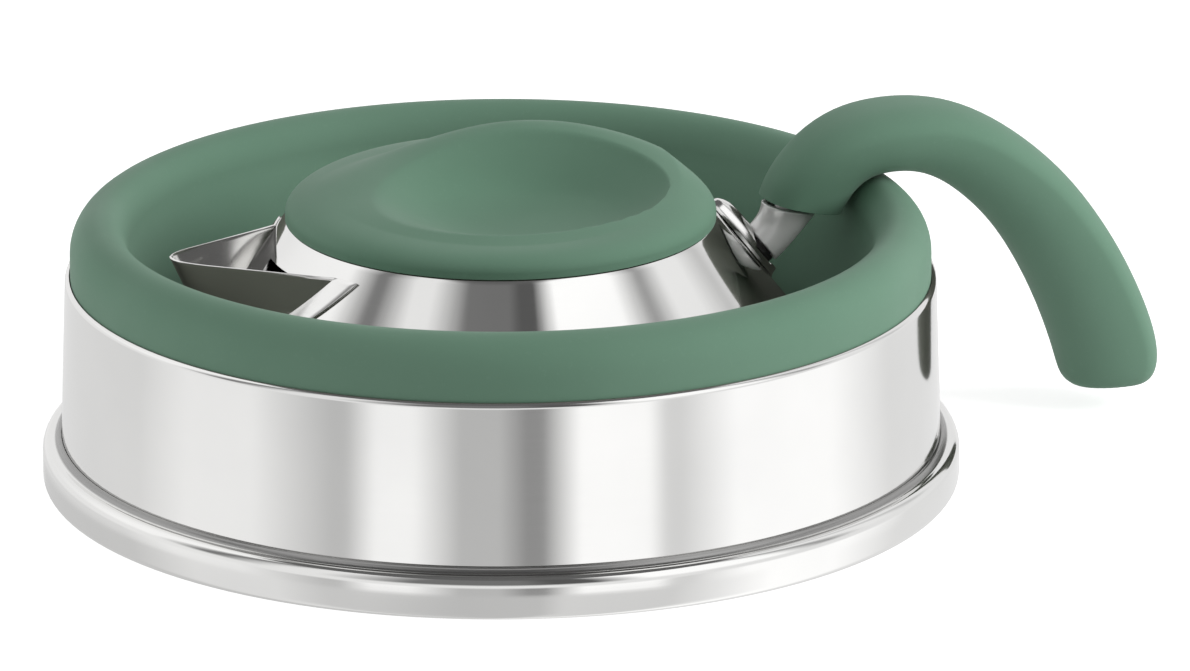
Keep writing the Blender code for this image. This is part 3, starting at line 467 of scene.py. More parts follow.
def draw_line(line):
    """Extrude a point along a line of (radius, height) points in the XZ plane."""
    bpy.ops.object.select_all(action="DESELECT")
    bpy.ops.mesh.primitive_plane_add(size=START_SIZE, enter_editmode=True)
    bpy.ops.mesh.merge(type="CENTER")
    bpy.ops.transform.translate(value=(line[0][0], 0, line[0][1]))
    for (r0, z0), (r1, z1) in zip(line, line[1:]):
        bpy.ops.mesh.extrude_region_move(TRANSFORM_OT_translate={"value": (r1 - r0, 0, z1 - z0)})


def apply_modifier(piece, kind, **settings):
    bpy.ops.object.modifier_add(type=kind)
    modifier = piece.modifiers[-1]
    for name, value in settings.items():
        setattr(modifier, name, value)
    bpy.ops.object.modifier_apply(modifier=modifier.name)


def round_edges(piece, width, segments=2, edge_angle=EDGE_ANGLE):
    apply_modifier(piece, "BEVEL", width=width, segments=segments, limit_method="ANGLE",
                   angle_limit=edge_angle)


def thicken(piece, sheet, offset=0):
    """Give a surface its thickness, on both sides or, at -1, on the inside."""
    apply_modifier(piece, "SOLIDIFY", thickness=sheet, offset=offset, use_even_offset=True)


def turned(line, sheet, rounding=SHEET_ROUNDING):
    """A sheet turned round the kettle's axis."""
    draw_line(line)
    bpy.ops.mesh.select_all(action="SELECT")
    bpy.ops.mesh.spin(steps=ROUND_STEPS, angle=2 * pi, center=(0, 0, 0), axis=(0, 0, 1))
    bpy.ops.mesh.select_all(action="SELECT")
    bpy.ops.mesh.remove_doubles(threshold=MERGE)
    close_mesh()
    piece = bpy.context.object
    thicken(piece, sheet)
    round_edges(piece, rounding)
    return piece


def skin(rings, closed=False):
    """A grid moved onto rings of points; closed rings meet themselves and are capped."""
    columns = len(rings[0]) if closed else len(rings[0]) - 1
    rows = len(rings) - 1
    bpy.ops.object.select_all(action="DESELECT")
    bpy.ops.mesh.primitive_grid_add(x_subdivisions=columns, y_subdivisions=rows, size=GRID_SIZE)
    piece = bpy.context.object
    for point in piece.data.vertices:
        column = round((point.co.x / GRID_SIZE + 0.5) * columns)
        row = round((point.co.y / GRID_SIZE + 0.5) * rows)
        point.co = rings[row][column % len(rings[0])]
    bpy.ops.object.mode_set(mode="EDIT")
    bpy.ops.mesh.select_all(action="SELECT")
    bpy.ops.mesh.remove_doubles(threshold=MERGE)
    if closed:
        bpy.ops.mesh.select_all(action="SELECT")
        bpy.ops.mesh.fill_holes(sides=0)
    close_mesh()
    return piece


def cut_with(piece, cutter):
    select_only(piece)
    apply_modifier(piece, "BOOLEAN", operation="DIFFERENCE", solver="EXACT", object=cutter)
    bpy.data.objects.remove(cutter, do_unlink=True)


def dress(piece, name, material, body, node):
    """Name a finished piece, give it its surface and set it on the working model."""
    select_only(piece)
    bpy.ops.object.shade_smooth_by_angle(angle=SMOOTH_ANGLE)
    piece.name = name
    piece.data.name = name
    piece.data.materials.clear()
    piece.data.materials.append(material)
    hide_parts(node)
    if body:
        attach(piece, body)


# Finishes

# Steels and the like: colour and rubbed colour, least and most roughness, fineness of the
# spun lines, their height in millimetres, and how metallic they are
STEELS = {
    "polished_steel": ("steel", "steel_rubbed", 0.04, 0.09, 900.0, 0.003, 1.0),
    "satin_polished_spout": ("steel", "steel_rubbed", 0.13, 0.20, 1100.0, 0.003, 1.0),
    # The collar's tumbled steel is rough as tumbled steel is, and paler and mostly matt as painted light
    # that brightens it in the grip's shade
    "tumbled_steel": ("tumbled", "steel", 0.26, 0.36, 1600.0, 0.006, 0.30),
    "fine_brushed_steel": ("steel", "steel_rubbed", 0.05, 0.11, 1400.0, 0.004, 1.0),
    "satin_steel": ("satin", "steel_rubbed", 0.26, 0.40, 1200.0, 0.01, 1.0),
    "spreader_aluminium": ("aluminium", "satin", 0.34, 0.46, 700.0, 0.02, 1.0),
}
LINE_BUMP = 0.25
LEDGE_ROUGHNESS = 0.30

# Mouldings: colour, fineness of the grain and roughness
MOULDINGS = {
    "seal_rubber": ("seal", 1500.0, 0.45),
    "dark_fibre": ("fibre", 1800.0, 0.6),
    "grey_nylon": ("nylon", 900.0, 0.5),
}
MOULDING_BUMP = 0.25
MOULDING_GRAIN = 0.05 * MM
MOULDING_DARK_SHARE = 0.8        # of the colour, where it is handled
MOULDING_SMOOTH_SHARE = 0.85     # and of the roughness there

SILICONE_SCALES = (22.0, 900.0)  # of its patches and specks
SILICONE_WEAR = {"Patches": 0.35, "Specks": 0.25}
SILICONE_ROUGHNESS = (0.68, 0.56)
SILICONE_GRAIN_SCALE = 2600.0
SILICONE_GRAIN = 0.03 * MM
SILICONE_BUMP = 0.20
SILICONE_SHINE = {"Specular IOR Level": 0.22, "Sheen Weight": 0.08, "Sheen Roughness": 0.5}

HANDLING_SCALES = (14.0, 700.0)  # of patches and specks elsewhere
PATCH_DETAIL = 5.0
PATCH_EDGES = (0.35, 0.65)       # of the noise, between which a patch fades in
SPECK_EDGES = (0.62, 0.74)
LINE_EDGES = (0.3, 0.7)
LINE_DETAIL = 4.0
GRAIN_DETAIL = 2.0
FINE_NOISE = 0.6                 # how rough the noise of lines and of the silicone's grain is


class Wiring:
    """A short way to place nodes in a tree and join them."""

    def __init__(self, tree):
        self.tree = tree

    def join(self, value, socket):
        """Join an output to a socket, or write a plain value into it."""
        if isinstance(value, bpy.types.NodeSocket):
            self.tree.links.new(value, socket)
        else:
            socket.default_value = value

    def node(self, kind, inputs=None, **settings):
        made = self.tree.nodes.new(kind)
        for name, value in settings.items():
            setattr(made, name, value)
        for key, value in (inputs or {}).items():
            self.join(value, made.inputs[key])
        return made

    def math(self, operation, *values, **settings):
        made = self.node("ShaderNodeMath", dict(enumerate(values)), operation=operation, **settings)
        return made.outputs[0]

    def remap(self, value, old=(0, 1), new=(0, 1)):
        ends = zip(("From Min", "From Max", "To Min", "To Max"), (*old, *new))
        return self.node("ShaderNodeMapRange", {"Value": value, **dict(ends)}).outputs["Result"]

    def noise(self, vector, scale, detail, roughness=0.5):
        grain = {"Scale": scale, "Detail": detail, "Roughness": roughness}
        return self.node("ShaderNodeTexNoise", {"Vector": vector, **grain}).outputs["Fac"]

    def mix(self, factor, first, second, kind="RGBA"):
        made = self.node("ShaderNodeMix", data_type=kind)
        for name, value in (("Factor", factor), ("A", first), ("B", second)):
            self.join(value, made.inputs[name])
        return made.outputs["Result"]


def new_group(name, inputs, outputs):
    """A group on a Vector and numbers, with its wiring, its way in and its way out."""
    group = bpy.data.node_groups.new(name, "ShaderNodeTree")
    add = group.interface.new_socket
    add(name="Vector", in_out="INPUT", socket_type="NodeSocketVector")
    for way, names in (("INPUT", inputs), ("OUTPUT", outputs)):
        for socket in names:
            add(name=socket, in_out=way, socket_type="NodeSocketFloat")
    w = Wiring(group)
    return group, w, w.node("NodeGroupInput").outputs, w.node("NodeGroupOutput").inputs


def use_group(w, name, build, inputs):
    """The outputs of a shared group, which is built when it is first used."""
    group = bpy.data.node_groups.get(name) or build(name)
    return w.node("ShaderNodeGroup", inputs, node_tree=group).outputs


def round_parts(w, vector):
    """The distance of a place from the kettle's axis, and its X, Y and Z."""
    parts = w.node("ShaderNodeSeparateXYZ", {0: vector}).outputs
    across, along = w.math("POWER", parts["X"], 2.0), w.math("POWER", parts["Y"], 2.0)
    return w.math("SQRT", w.math("ADD", across, along)), parts


def spun_lines_group(name):
    """Fine lines left by polishing on a wheel, running round the kettle's axis."""
    group, w, entry, leave = new_group(name, ("Fineness",), ("Lines", "Height"))
    radius, parts = round_parts(w, entry["Vector"])
    spread = w.node("ShaderNodeCombineXYZ", {
        "X": w.math("MULTIPLY", radius, entry["Fineness"]),
        "Y": w.math("MULTIPLY", parts["Z"], entry["Fineness"]),
        "Z": w.math("ARCTAN2", parts["Y"], parts["X"]),
    })
    lines = w.noise(spread.outputs[0], 1, LINE_DETAIL, FINE_NOISE)
    w.join(w.remap(lines, LINE_EDGES), leave["Lines"])
    w.join(lines, leave["Height"])
    return group


def handling_group(name):
    """Soft patches of handling and dust, with fine specks among them."""
    group, w, entry, leave = new_group(name, ("Patch Scale", "Speck Scale"), ("Patches", "Specks"))
    patches = w.noise(entry["Vector"], entry["Patch Scale"], PATCH_DETAIL)
    specks = w.noise(entry["Vector"], entry["Speck Scale"], GRAIN_DETAIL)
    w.join(w.remap(patches, PATCH_EDGES), leave["Patches"])
    w.join(w.remap(specks, SPECK_EDGES), leave["Specks"])
    return group


def ledge_darkening_group(name):
    """Mask of the flat ledge round the pan and of the bend up to it."""
    group, w, entry, leave = new_group(name, ("Radius", "Height", "Softness"), ("Seam",))
    radius, parts = round_parts(w, entry["Vector"])
    inside = w.math("SUBTRACT", entry["Radius"], radius)
    above = w.math("SUBTRACT", parts["Z"], entry["Height"])
    seam = w.math("DIVIDE", w.math("MINIMUM", inside, above), entry["Softness"], use_clamp=True)
    w.join(seam, leave["Seam"])
    return group


def handling(w, place, scales=HANDLING_SCALES):
    inputs = {"Vector": place, "Patch Scale": scales[0], "Speck Scale": scales[1]}
    return use_group(w, "handling", handling_group, inputs)


def tone(name, share=1.0):
    """One of the kettle's colours, or a darker share of it, as a shader takes it."""
    return (*(part * share for part in getattr(colours(), name)), 1)


def new_surface(name):
    """A material with its wiring, its Principled BSDF and its Object coordinates."""
    material = bpy.data.materials.new(name)
    material.use_nodes = True
    w = Wiring(material.node_tree)
    shader = material.node_tree.nodes["Principled BSDF"]
    return material, w, shader, w.node("ShaderNodeTexCoord").outputs["Object"]


def add_bump(w, shader, height, strength, distance):
    bump = w.node("ShaderNodeBump", {"Strength": strength, "Distance": distance, "Height": height})
    w.join(bump.outputs["Normal"], shader.inputs["Normal"])


def new_steel(name, first, second, smooth, rough, fineness, line_height, metallic):
    """Polished or satin metal with spun lines and rubbed patches."""
    material, w, shader, place = new_surface(name)
    lines = use_group(w, "spun_lines", spun_lines_group, {"Vector": place, "Fineness": fineness})
    patches = handling(w, place)["Patches"]
    w.join(w.mix(patches, tone(first), tone(second)), shader.inputs["Base Color"])
    both = w.math("ADD", lines["Lines"], patches)
    w.join(w.remap(both, (0, 2), (smooth, rough)), shader.inputs["Roughness"])
    add_bump(w, shader, lines["Height"], LINE_BUMP, line_height * MM)
    w.join(metallic, shader.inputs["Metallic"])
    return material


def new_moulding(name, base, grain_scale, rough):
    """Plain moulded rubber, fibre or nylon with a fine grain."""
    material, w, shader, place = new_surface(name)
    patches = handling(w, place)["Patches"]
    w.join(w.mix(patches, tone(base), tone(base, MOULDING_DARK_SHARE)), shader.inputs["Base Color"])
    w.join(w.remap(patches, new=(rough, rough * MOULDING_SMOOTH_SHARE)), shader.inputs["Roughness"])
    add_bump(w, shader, w.noise(place, grain_scale, GRAIN_DETAIL), MOULDING_BUMP, MOULDING_GRAIN)
    return material


def new_silicone(name):
    """Matt sage silicone: soft patches, a very fine grain, a little sheen and a painted darker grey in the
    steel's reflections.
    """
    material, w, shader, place = new_surface(name)
    marks = handling(w, place, SILICONE_SCALES)
    wear = [w.math("MULTIPLY", marks[name], share) for name, share in SILICONE_WEAR.items()]
    # Painted reflection: to glossy rays the silicone shows a darker grey, standing in for the shade that the
    # steel mirrors
    seen = w.node("ShaderNodeLightPath").outputs["Is Glossy Ray"]
    handled = w.mix(w.math("ADD", *wear), tone("silicone"), tone("silicone_worn"))
    w.join(w.mix(seen, handled, tone("silicone_mirrored")), shader.inputs["Base Color"])
    w.join(w.remap(marks["Patches"], new=SILICONE_ROUGHNESS), shader.inputs["Roughness"])
    grain = w.noise(place, SILICONE_GRAIN_SCALE, GRAIN_DETAIL, FINE_NOISE)
    add_bump(w, shader, grain, SILICONE_BUMP, SILICONE_GRAIN)
    for socket, value in SILICONE_SHINE.items():
        w.join(value, shader.inputs[socket])
    return material


def finish(name):
    """The material of this name, made when it is first asked for."""
    found = bpy.data.materials.get(name)
    if found:
        return found
    if name in STEELS:
        return new_steel(name, *STEELS[name])
    if name in MOULDINGS:
        return new_moulding(name, *MOULDINGS[name])
    return new_silicone(name)


def cap_steel(s):
    """The capsule's steel, darker and rougher on the ledge round the pan and on the bend up to it."""
    material = finish("fine_brushed_steel").copy()
    material.name = "brazed_capsule_steel"
    w = Wiring(material.node_tree)
    shader = material.node_tree.nodes["Principled BSDF"]
    seam = use_group(w, "ledge_seam", ledge_darkening_group, {
        "Vector": w.node("ShaderNodeTexCoord").outputs["Object"],
        "Radius": s.pan_radius + s.cap_neck,
        "Height": s.cap_height - s.cap_shoulder_drop,
        "Softness": s.cap_sheet / 2,
    })["Seam"]
    # The ledge and the bend up to it are darker and rougher
    for name, dull, kind in (("Base Color", tone("seam"), "RGBA"), ("Roughness", LEDGE_ROUGHNESS, "FLOAT")):
        socket = shader.inputs[name]
        w.join(w.mix(seam, socket.links[0].from_socket, dull, kind), socket)
    return material


# Pieces

class MakeBase(bpy.types.Operator):
    """Make the capsule base, the pan and the ring in its rim"""

    bl_idname = "kettle.make_base"
    bl_label = "Base and pan"

    def execute(self, context):
        s = sizes()
        cap = turned(cap_line(s), s.cap_sheet)
        dress(cap, "capsule_base", cap_steel(s), "base", "base_cap")
        pan = turned(pan_line(s), s.pan_sheet)
        dress(pan, "steel_pan", finish("fine_brushed_steel"), "base", "pan")
        ring = turned(rim_ring_line(s), s.ring_sheet)
        dress(ring, "silicone_clamp_ring", finish("satin_steel"), "base", "rim_ring")
        return {"FINISHED"}


class MakeWall(bpy.types.Operator):
    """Make the folding silicone wall, which unrolls into a cone as the top rises"""

    bl_idname = "kettle.make_wall"
    bl_label = "Folding wall"

    def execute(self, context):
        s = sizes()
        line = wall_line(s)
        wall = turned(line, s.wall, WALL_ROUNDING)
        dress(wall, "folding_wall", finish("sage_silicone"), None, "silicone_wall")
        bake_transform(wall, "base", "top", start=(0, 0, s.pan_top), end=(0, 0, s.pan_top + s.travel))
        weigh_wall(s, wall, line)
        return {"FINISHED"}


def weigh_wall(s, wall, line):
    """Let each point of the wall rise to its place on the unfolded cone."""
    ways = [0.0]
    for (r0, z0), (r1, z1) in zip(line, line[1:]):
        ways.append(ways[-1] + hypot(r1 - r0, z1 - z0))
    marks = [(r, z, way) for (r, z), way in zip(line, ways)]
    lip_end = max(way for r, z, way in marks if r < s.skirt_radius + s.flange)
    rim_start = min(way for r, z, way in marks[len(marks) // 2:] if z < s.pan_top)
    raised_lip = lip_height(s) + s.travel
    weights = wall.data.attributes["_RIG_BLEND"].data
    for point, weight in zip(wall.data.vertices, weights):
        radius = hypot(point.co.x, point.co.y)
        r, z, way = min(marks, key=lambda mark: hypot(mark[0] - radius, mark[1] - point.co.z))
        share = min(max((way - lip_end) / (rim_start - lip_end), 0), 1)
        target = raised_lip + (s.pan_top - raised_lip) * share
        if share == 0:
            weight.value = 1
        elif share == 1:
            weight.value = 0
        else:
            weight.value = (target - z) / s.travel


class MakeDome(bpy.types.Operator):
    """Make the steel dome with its pouring hole, and the ring in its skirt"""

    bl_idname = "kettle.make_dome"
    bl_label = "Dome"

    def execute(self, context):
        s = sizes()
        dome = turned(dome_line(s), s.dome_sheet)
        cut_with(dome, opening_cutter(s))
        dress(dome, "polished_dome", finish("polished_steel"), "top", "dome")
        ring = turned(dome_ring_line(s), s.ring_sheet)
        dress(ring, "dome_clamp_ring", finish("satin_steel"), "top", "dome_ring")
        return {"FINISHED"}


def on_cone(s, height, turn, stand_off):
    """A point over the dome on the spout's side; the turn is from the spout's middle."""
    radius = cone_radius(s, height, stand_off)
    return Vector((-radius * cos(turn), radius * sin(turn), height))


def fold_angle(s, height, margin=0.0):
    """Where a side of the spout meets the dome, as an angle from the spout's middle."""
    share = (height - s.spout_foot) / (s.spout_root - s.spout_foot)
    return s.spout_root_angle * max(share, 0) ** SPOUT_FOLD_POWER - margin / cone_radius(s, height)


def opening_cutter(s):
    """A wedge through the dome, its corners inside and outside it on each side."""
    top = s.spout_root - s.opening_drop
    low = s.spout_foot + s.opening_rise
    rows = SPOUT_ROWS // 2
    corners = ((1, -OVERRUN), (1, OVERRUN), (-1, OVERRUN), (-1, -OVERRUN))
    rings = []
    for row in range(rows + 1):
        height = low + (top - low) * row / rows
        turn = fold_angle(s, height) * SPOUT_OPENING_SHARE
        rings.append([on_cone(s, height, turn * side, stand_off) for side, stand_off in corners])
    return skin(rings, True)


class MakeSpout(bpy.types.Operator):
    """Make the folded spout with the flanges that lie on the dome"""

    bl_idname = "kettle.make_spout"
    bl_label = "Spout"

    def execute(self, context):
        s = sizes()
        spout = skin([spout_section(s, row / SPOUT_ROWS) for row in range(SPOUT_ROWS + 1)])
        thicken(spout, s.spout_sheet)
        round_edges(spout, SHEET_ROUNDING)
        dress(spout, "folded_spout", finish("satin_polished_spout"), "top", "spout")
        return {"FINISHED"}


def between(first, last, count):
    return [first.lerp(last, i / count) for i in range(count)]


def spout_section(s, share):
    """Points across the spout, flange to flange; share 0 is the top edge and 1 the keel's foot."""
    stand = BRAZED_GAP + s.spout_sheet / 2
    lip = Vector((s.spout_to_crest - s.crest_radius, 0, s.spout_lip))
    foot = on_cone(s, s.spout_foot, 0, stand + s.spout_stand)
    keel = lip.lerp(foot, share)
    height = s.spout_root + (s.spout_foot - s.spout_root) * share
    fold_turn = fold_angle(s, height, -s.spout_stand)
    flange_turn = s.spout_flange / cone_radius(s, height)
    flat, round_count = SPOUT_COLUMNS
    folds = [on_cone(s, height, sign * fold_turn, stand) for sign in (-1, 1)]
    # The walls' corner lies so far out that the rounded keel passes through its own line.
    share_half = SPOUT_BEND_SHARE / 2
    corner = (keel - (folds[0] + folds[1]) * share_half / 2) / (1 - share_half)
    tangents = [corner.lerp(fold, SPOUT_BEND_SHARE) for fold in folds]
    halves = []
    for sign, fold, tangent in zip((-1, 1), folds, tangents):
        flange = [on_cone(s, height, sign * (fold_turn + flange_turn * (1 - i / flat)), stand)
                  for i in range(flat)]
        halves.append(flange + between(fold, tangent, flat))
    bend = []
    for i in range(round_count + 1):
        t = i / round_count
        bend.append(tangents[0].lerp(corner, t).lerp(corner.lerp(tangents[1], t), t))
    return halves[0] + bend + halves[1][::-1]


def square_to(direction):
    """The direction across another, in the plane of spout and handle."""
    return Vector((-direction.z, 0, direction.x))


def joint_axis(s):
    return Vector((cos(s.joint_tilt), 0, sin(s.joint_tilt)))


def joint_point(s):
    return Vector((cone_radius(s, s.joint_height) + s.joint_stand, 0, s.joint_height))


class MakeHandleMount(bpy.types.Operator):
    """Make the leaf-shaped boss on the dome and the bent collar over it"""

    bl_idname = "kettle.make_handle_mount"
    bl_label = "Handle mount"

    def execute(self, context):
        s = sizes()
        bracket = skin(bracket_rings(s), True)
        cut_with(bracket, seat_cutter(s))
        round_edges(bracket, BRACKET_ROUNDING, FINE_SEGMENTS, BRACKET_EDGE_ANGLE)
        dress(bracket, "leaf_boss", finish("satin_polished_spout"), "top", "handle_bracket")
        collar = skin([collar_ring(s, row / COLLAR_ROWS) for row in range(COLLAR_ROWS + 1)])
        thicken(collar, s.collar_wall, -1)
        round_edges(collar, COLLAR_ROUNDING, FINE_SEGMENTS)
        dress(collar, "bent_collar", finish("tumbled_steel"), "top", "handle_collar")
        return {"FINISHED"}


def bracket_rings(s):
    """Rings of the leaf-shaped boss, from its foot on the dome to its ridge."""
    axis = joint_axis(s)
    depth = s.joint_stand / (cos(s.joint_tilt) + sin(s.joint_tilt) / tan(s.dome_slope))
    slope_up = Vector((-cos(s.dome_slope), 0, sin(s.dome_slope)))
    slope_out = Vector((sin(s.dome_slope), 0, cos(s.dome_slope)))
    middle = joint_point(s) - axis * depth
    low_height = depth + s.bracket_seat_rim
    rings = []
    for reach_share, width_share, ridge_share, low_share in BRACKET_SHARES:
        ring = []
        for i in range(BRACKET_SIDES):
            a = 2 * pi * i / BRACKET_SIDES
            reach = reach_share * (s.bracket_up if cos(a) > 0 else s.bracket_down)
            ridge = min(max(cos(a), 0) * BRACKET_RIDGE_SPREAD, 1)
            low = low_share * low_height
            rise = low + (ridge_share * s.bracket_ridge - low) * ridge
            side = Vector((0, sin(a) * s.bracket_width * width_share, 0))
            flat = middle + slope_up * cos(a) * reach + side
            ring.append(onto_cone(s, flat) + slope_out * rise)
        rings.append(ring)
    return rings


def seat_cutter(s):
    """Clears the handle's round seat on the boss."""
    axis = joint_axis(s)
    bpy.ops.object.select_all(action="DESELECT")
    bpy.ops.mesh.primitive_cylinder_add(vertices=BRACKET_SIDES, radius=s.bracket_seat, depth=OVERRUN,
                                        location=joint_point(s) + axis * OVERRUN / 2,
                                        rotation=(0, pi / 2 - s.joint_tilt, 0))
    return bpy.context.object


def onto_cone(s, point):
    """The nearest place just over the dome, at the same height."""
    radius = cone_radius(s, point.z, GAP)
    flat = hypot(point.x, point.y)
    return Vector((point.x * radius / flat, point.y * radius / flat, point.z))


def collar_line(s, t):
    """Middle of the bent collar, from the washer to the rim, and its direction."""
    axis = joint_axis(s)
    start = joint_point(s) + axis * (s.washer + 2 * GAP)
    end = joint_point(s) + Vector((s.collar_out, 0, s.collar_up))
    rim = Vector((cos(s.collar_tilt), 0, sin(s.collar_tilt)))
    bend = start + axis * (end - start).length / 2
    return start.lerp(bend, t).lerp(bend.lerp(end, t), t), axis.lerp(rim, t).normalized()


def collar_ring(s, t):
    """A ring round the collar's middle, its first point twice."""
    middle, direction = collar_line(s, t)
    across = square_to(direction)
    waist = s.collar_waist + (s.collar_foot - s.collar_waist) * (1 - t) ** 2
    radius = waist + (s.collar_rim - s.collar_waist) * t ** COLLAR_FLARE_POWER
    turns = [2 * pi * i / COLLAR_SIDES for i in range(COLLAR_SIDES + 1)]
    return [middle + (across * sin(a) + Vector((0, cos(a), 0))) * radius for a in turns]


class MakeGrip(bpy.types.Operator):
    """Make the hooked silicone grip"""

    bl_idname = "kettle.make_grip"
    bl_label = "Grip"

    def execute(self, context):
        s = sizes()
        grip = skin(grip_rings(s), True)
        round_edges(grip, GRIP_ROUNDING)
        apply_modifier(grip, "SUBSURF", levels=2, render_levels=2)
        dress(grip, "hooked_grip", finish("sage_silicone"), "top", "handle_grip")
        return {"FINISHED"}


def grip_rings(s):
    """Rings round the grip's spine; the widest line sits near the inner side."""
    rim, direction = collar_line(s, 1)
    back = square_to(direction) * s.grip_depth * GRIP_OVERHANG_SHARE
    spine = [rim + direction * (s.grip_lift + GAP) - back]
    shares = [GRIP_START_SHARES]
    for x_share, z_share, depth_share, width_share in GRIP_STATIONS:
        height = s.grip_end + z_share * (s.grip_top - s.grip_end)
        spine.append(Vector((rim.x + x_share * s.grip_reach, 0, height)))
        shares.append((depth_share, width_share))
    rings = []
    last = len(spine) - 1
    for i, (middle, (depth_share, width_share)) in enumerate(zip(spine, shares)):
        along = (spine[min(i + 1, last)] - spine[max(i - 1, 0)]).normalized()
        if i == 0:
            along = (along + direction * GRIP_START_FOLLOW).normalized()
        across = square_to(along)
        half = depth_share * s.grip_depth / 2
        side = width_share * s.grip_width / 2
        crown = min(s.grip_crown, half)
        ring = []
        for column in range(GRIP_SIDES):
            a = 2 * pi * column / GRIP_SIDES
            rise = crown if sin(a) > 0 else 2 * half - crown
            reach = half - crown + sin(a) * rise
            wide = cos(a) * abs(cos(a)) ** (GRIP_SQUARENESS - 1) if abs(cos(a)) > MERGE else 0
            ring.append(middle + across * reach + Vector((0, wide * side, 0)))
        rings.append(ring)
    return rings


class MakeLid(bpy.types.Operator):
    """Make the lid's silicone top with its finger recess, and its plate"""

    bl_idname = "kettle.make_lid"
    bl_label = "Lid"

    def execute(self, context):
        s = sizes()
        cover = skin(cover_rings(s))
        dress(cover, "lid_top", finish("sage_silicone"), "lid", "lid_cover")
        plate = turned(plate_line(s), s.lid_sheet)
        dress(plate, "lid_plug_plate", finish("satin_steel"), "lid", "lid_plate")
        return {"FINISHED"}


def cover_height(s, x, y):
    """Height of the lid's top, a domed disc with a scooped finger recess."""
    share = min(hypot(x, y) / s.lid_radius, 1)
    crown = s.cover_crown * sqrt(1 - share ** COVER_CROWN_POWER)
    along, beside = x - s.bowl_offset, y - s.bowl_side
    across = hypot(along / s.bowl_length, beside / s.bowl_width)
    turn = atan2(beside, along)
    crisp = ((1 + cos(turn)) / 2) ** BOWL_CRISP_SPREAD
    power = BOWL_SOFT_POWER + (BOWL_CRISP_POWER - BOWL_SOFT_POWER) * crisp
    scoop = s.bowl_depth * max(1 - across ** BOWL_FLOOR_POWER, 0) ** power
    high_side = (1 + cos(turn - s.bowl_turn)) / 2
    edge = max(1 - ((across - BOWL_RIDGE_SHARE) / BOWL_EDGE_SHARE) ** 2, 0) ** 2
    edge *= min((1 - share) * BOWL_FADE_SHARE, 1)
    lip = edge * (s.bowl_lip * high_side ** 3 - s.bowl_dip * (1 - high_side) ** 2)
    return s.dome_top + GAP + s.cover_rim + crown - scoop + lip


def lid_circle(radius):
    """Points round the lid as (x, y), the first one twice."""
    turns = [2 * pi * i / LID_COLUMNS for i in range(LID_COLUMNS + 1)]
    return [(radius * cos(turn), radius * sin(turn)) for turn in turns]


def cover_ring(s, radius, below):
    return [(x, y, cover_height(s, x, y) - below) for x, y in lid_circle(radius)]


def cover_rings(s):
    """Rings of the lid's top: the underside out, the edge up and the top in."""
    pocket = s.mouth_radius - s.plug_clearance - s.lid_sheet
    plate_edge = s.lid_radius - s.plate_inset + GAP
    seat = s.dome_top + GAP + s.lid_sheet + GAP
    foot = s.dome_top + BRAZED_GAP
    rows = LID_ROWS // 2
    rings = [cover_ring(s, pocket * i / rows, s.cover_skin) for i in range(rows + 1)]
    edge = ((pocket + GAP, seat), (plate_edge, seat), (plate_edge, foot), (s.lid_radius, foot))
    rings += [[(x, y, height) for x, y in lid_circle(radius)] for radius, height in edge]
    turns = [pi / 2 * i / LID_ROWS for i in range(LID_ROWS + 1)]
    return rings + [cover_ring(s, s.lid_radius * cos(turn), 0) for turn in turns]


FITTINGS = {
    "heat_spreader": "spreader_aluminium",
    "handle_washer": "dark_fibre",
    "sealing_washer": "seal_rubber",
    "handle_screw": "satin_steel",
    "handle_tang": "satin_steel",
    "lid_core": "grey_nylon",
    "lid_seal": "seal_rubber",
    "lid_screw_1": "satin_steel",
    "lid_screw_2": "satin_steel",
    "lid_screw_3": "satin_steel",
}


class DressFittings(bpy.types.Operator):
    """Give the working model's small fittings their finishes"""

    bl_idname = "kettle.dress_fittings"
    bl_label = "Fittings"

    def execute(self, context):
        for node, name in FITTINGS.items():
            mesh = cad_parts[node].data
            mesh.materials.clear()
            mesh.materials.append(finish(name))
        return {"FINISHED"}


# Stage

FLOOR_SIZE = 12.0
FLOOR_DROP = 0.05 * MM           # of the floor below the kettle's foot
FLOOR_GLOW = 0.70                # lifts the floor to white without lighting the kettle
FLOOR_ROUGHNESS = 0.9
FLOOR_DARK_SHARE = 0.99          # of its colour, in its faint grain
FLOOR_GRAIN_SCALE = 40.0
CAMERA_TARGET = Vector((0.02067, -0.00752, 0.0336))
CAMERA_AZIMUTH = radians(-20)
CAMERA_ELEVATION = radians(17.6)
CAMERA_DISTANCE = 2.5
CAMERA_LENS = 323.2
SENSOR_WIDTH = 36.0

# Lamps: name, direction from the camera's side (right, towards the camera, up), size and power
LAMPS = (
    ("right softbox", (1.2, 0.2, 0.66), 0.8, 12.2),
    ("left softbox", (-1.3, 0.0, 0.25), 0.8, 5.0),
)
DIFFUSE_LEVEL = 0.38             # of the room's own light on matt surfaces

# Soft boxes and dark gaps round the table: the turn from the camera of each one's middle, half
# its width, both in degrees, and the grey that steel shows which mirrors it. The upright foot
# mirrors the first row, the pan the second and the dome the third. Level with the table the
# room is even.
PANELS_FLOOR = (
    (-135, 30, 0.75), (-70, 12, 0.85), (-38, 6, 0.77), (0, 10, 0.72), (30, 14, 0.80), (82, 10, 1.0),
    (142, 25, 0.86),
)
PANELS_LOW = (
    (-138, 30, 0.82), (-78, 11, 0.90), (-42, 2, 0.72), (-27, 5, 0.95), (-5, 5, 0.70), (9, 2, 0.54),
    (30, 9, 0.98), (46, 2, 0.82), (80, 16, 1.0), (147, 25, 0.86),
)
PANELS_HIGH = (
    (-105, 9, 0.94), (-78, 2, 0.46), (-52, 6, 0.88), (-8, 14, 0.43), (19, 5, 0.33), (56, 18, 1.0),
    (90, 1, 0.60), (108, 6, 0.90), (127, 1, 0.75), (170, 33, 0.88),
)
LEVEL_GREY = 0.88
TOP_GREY = 0.36                  # straight overhead
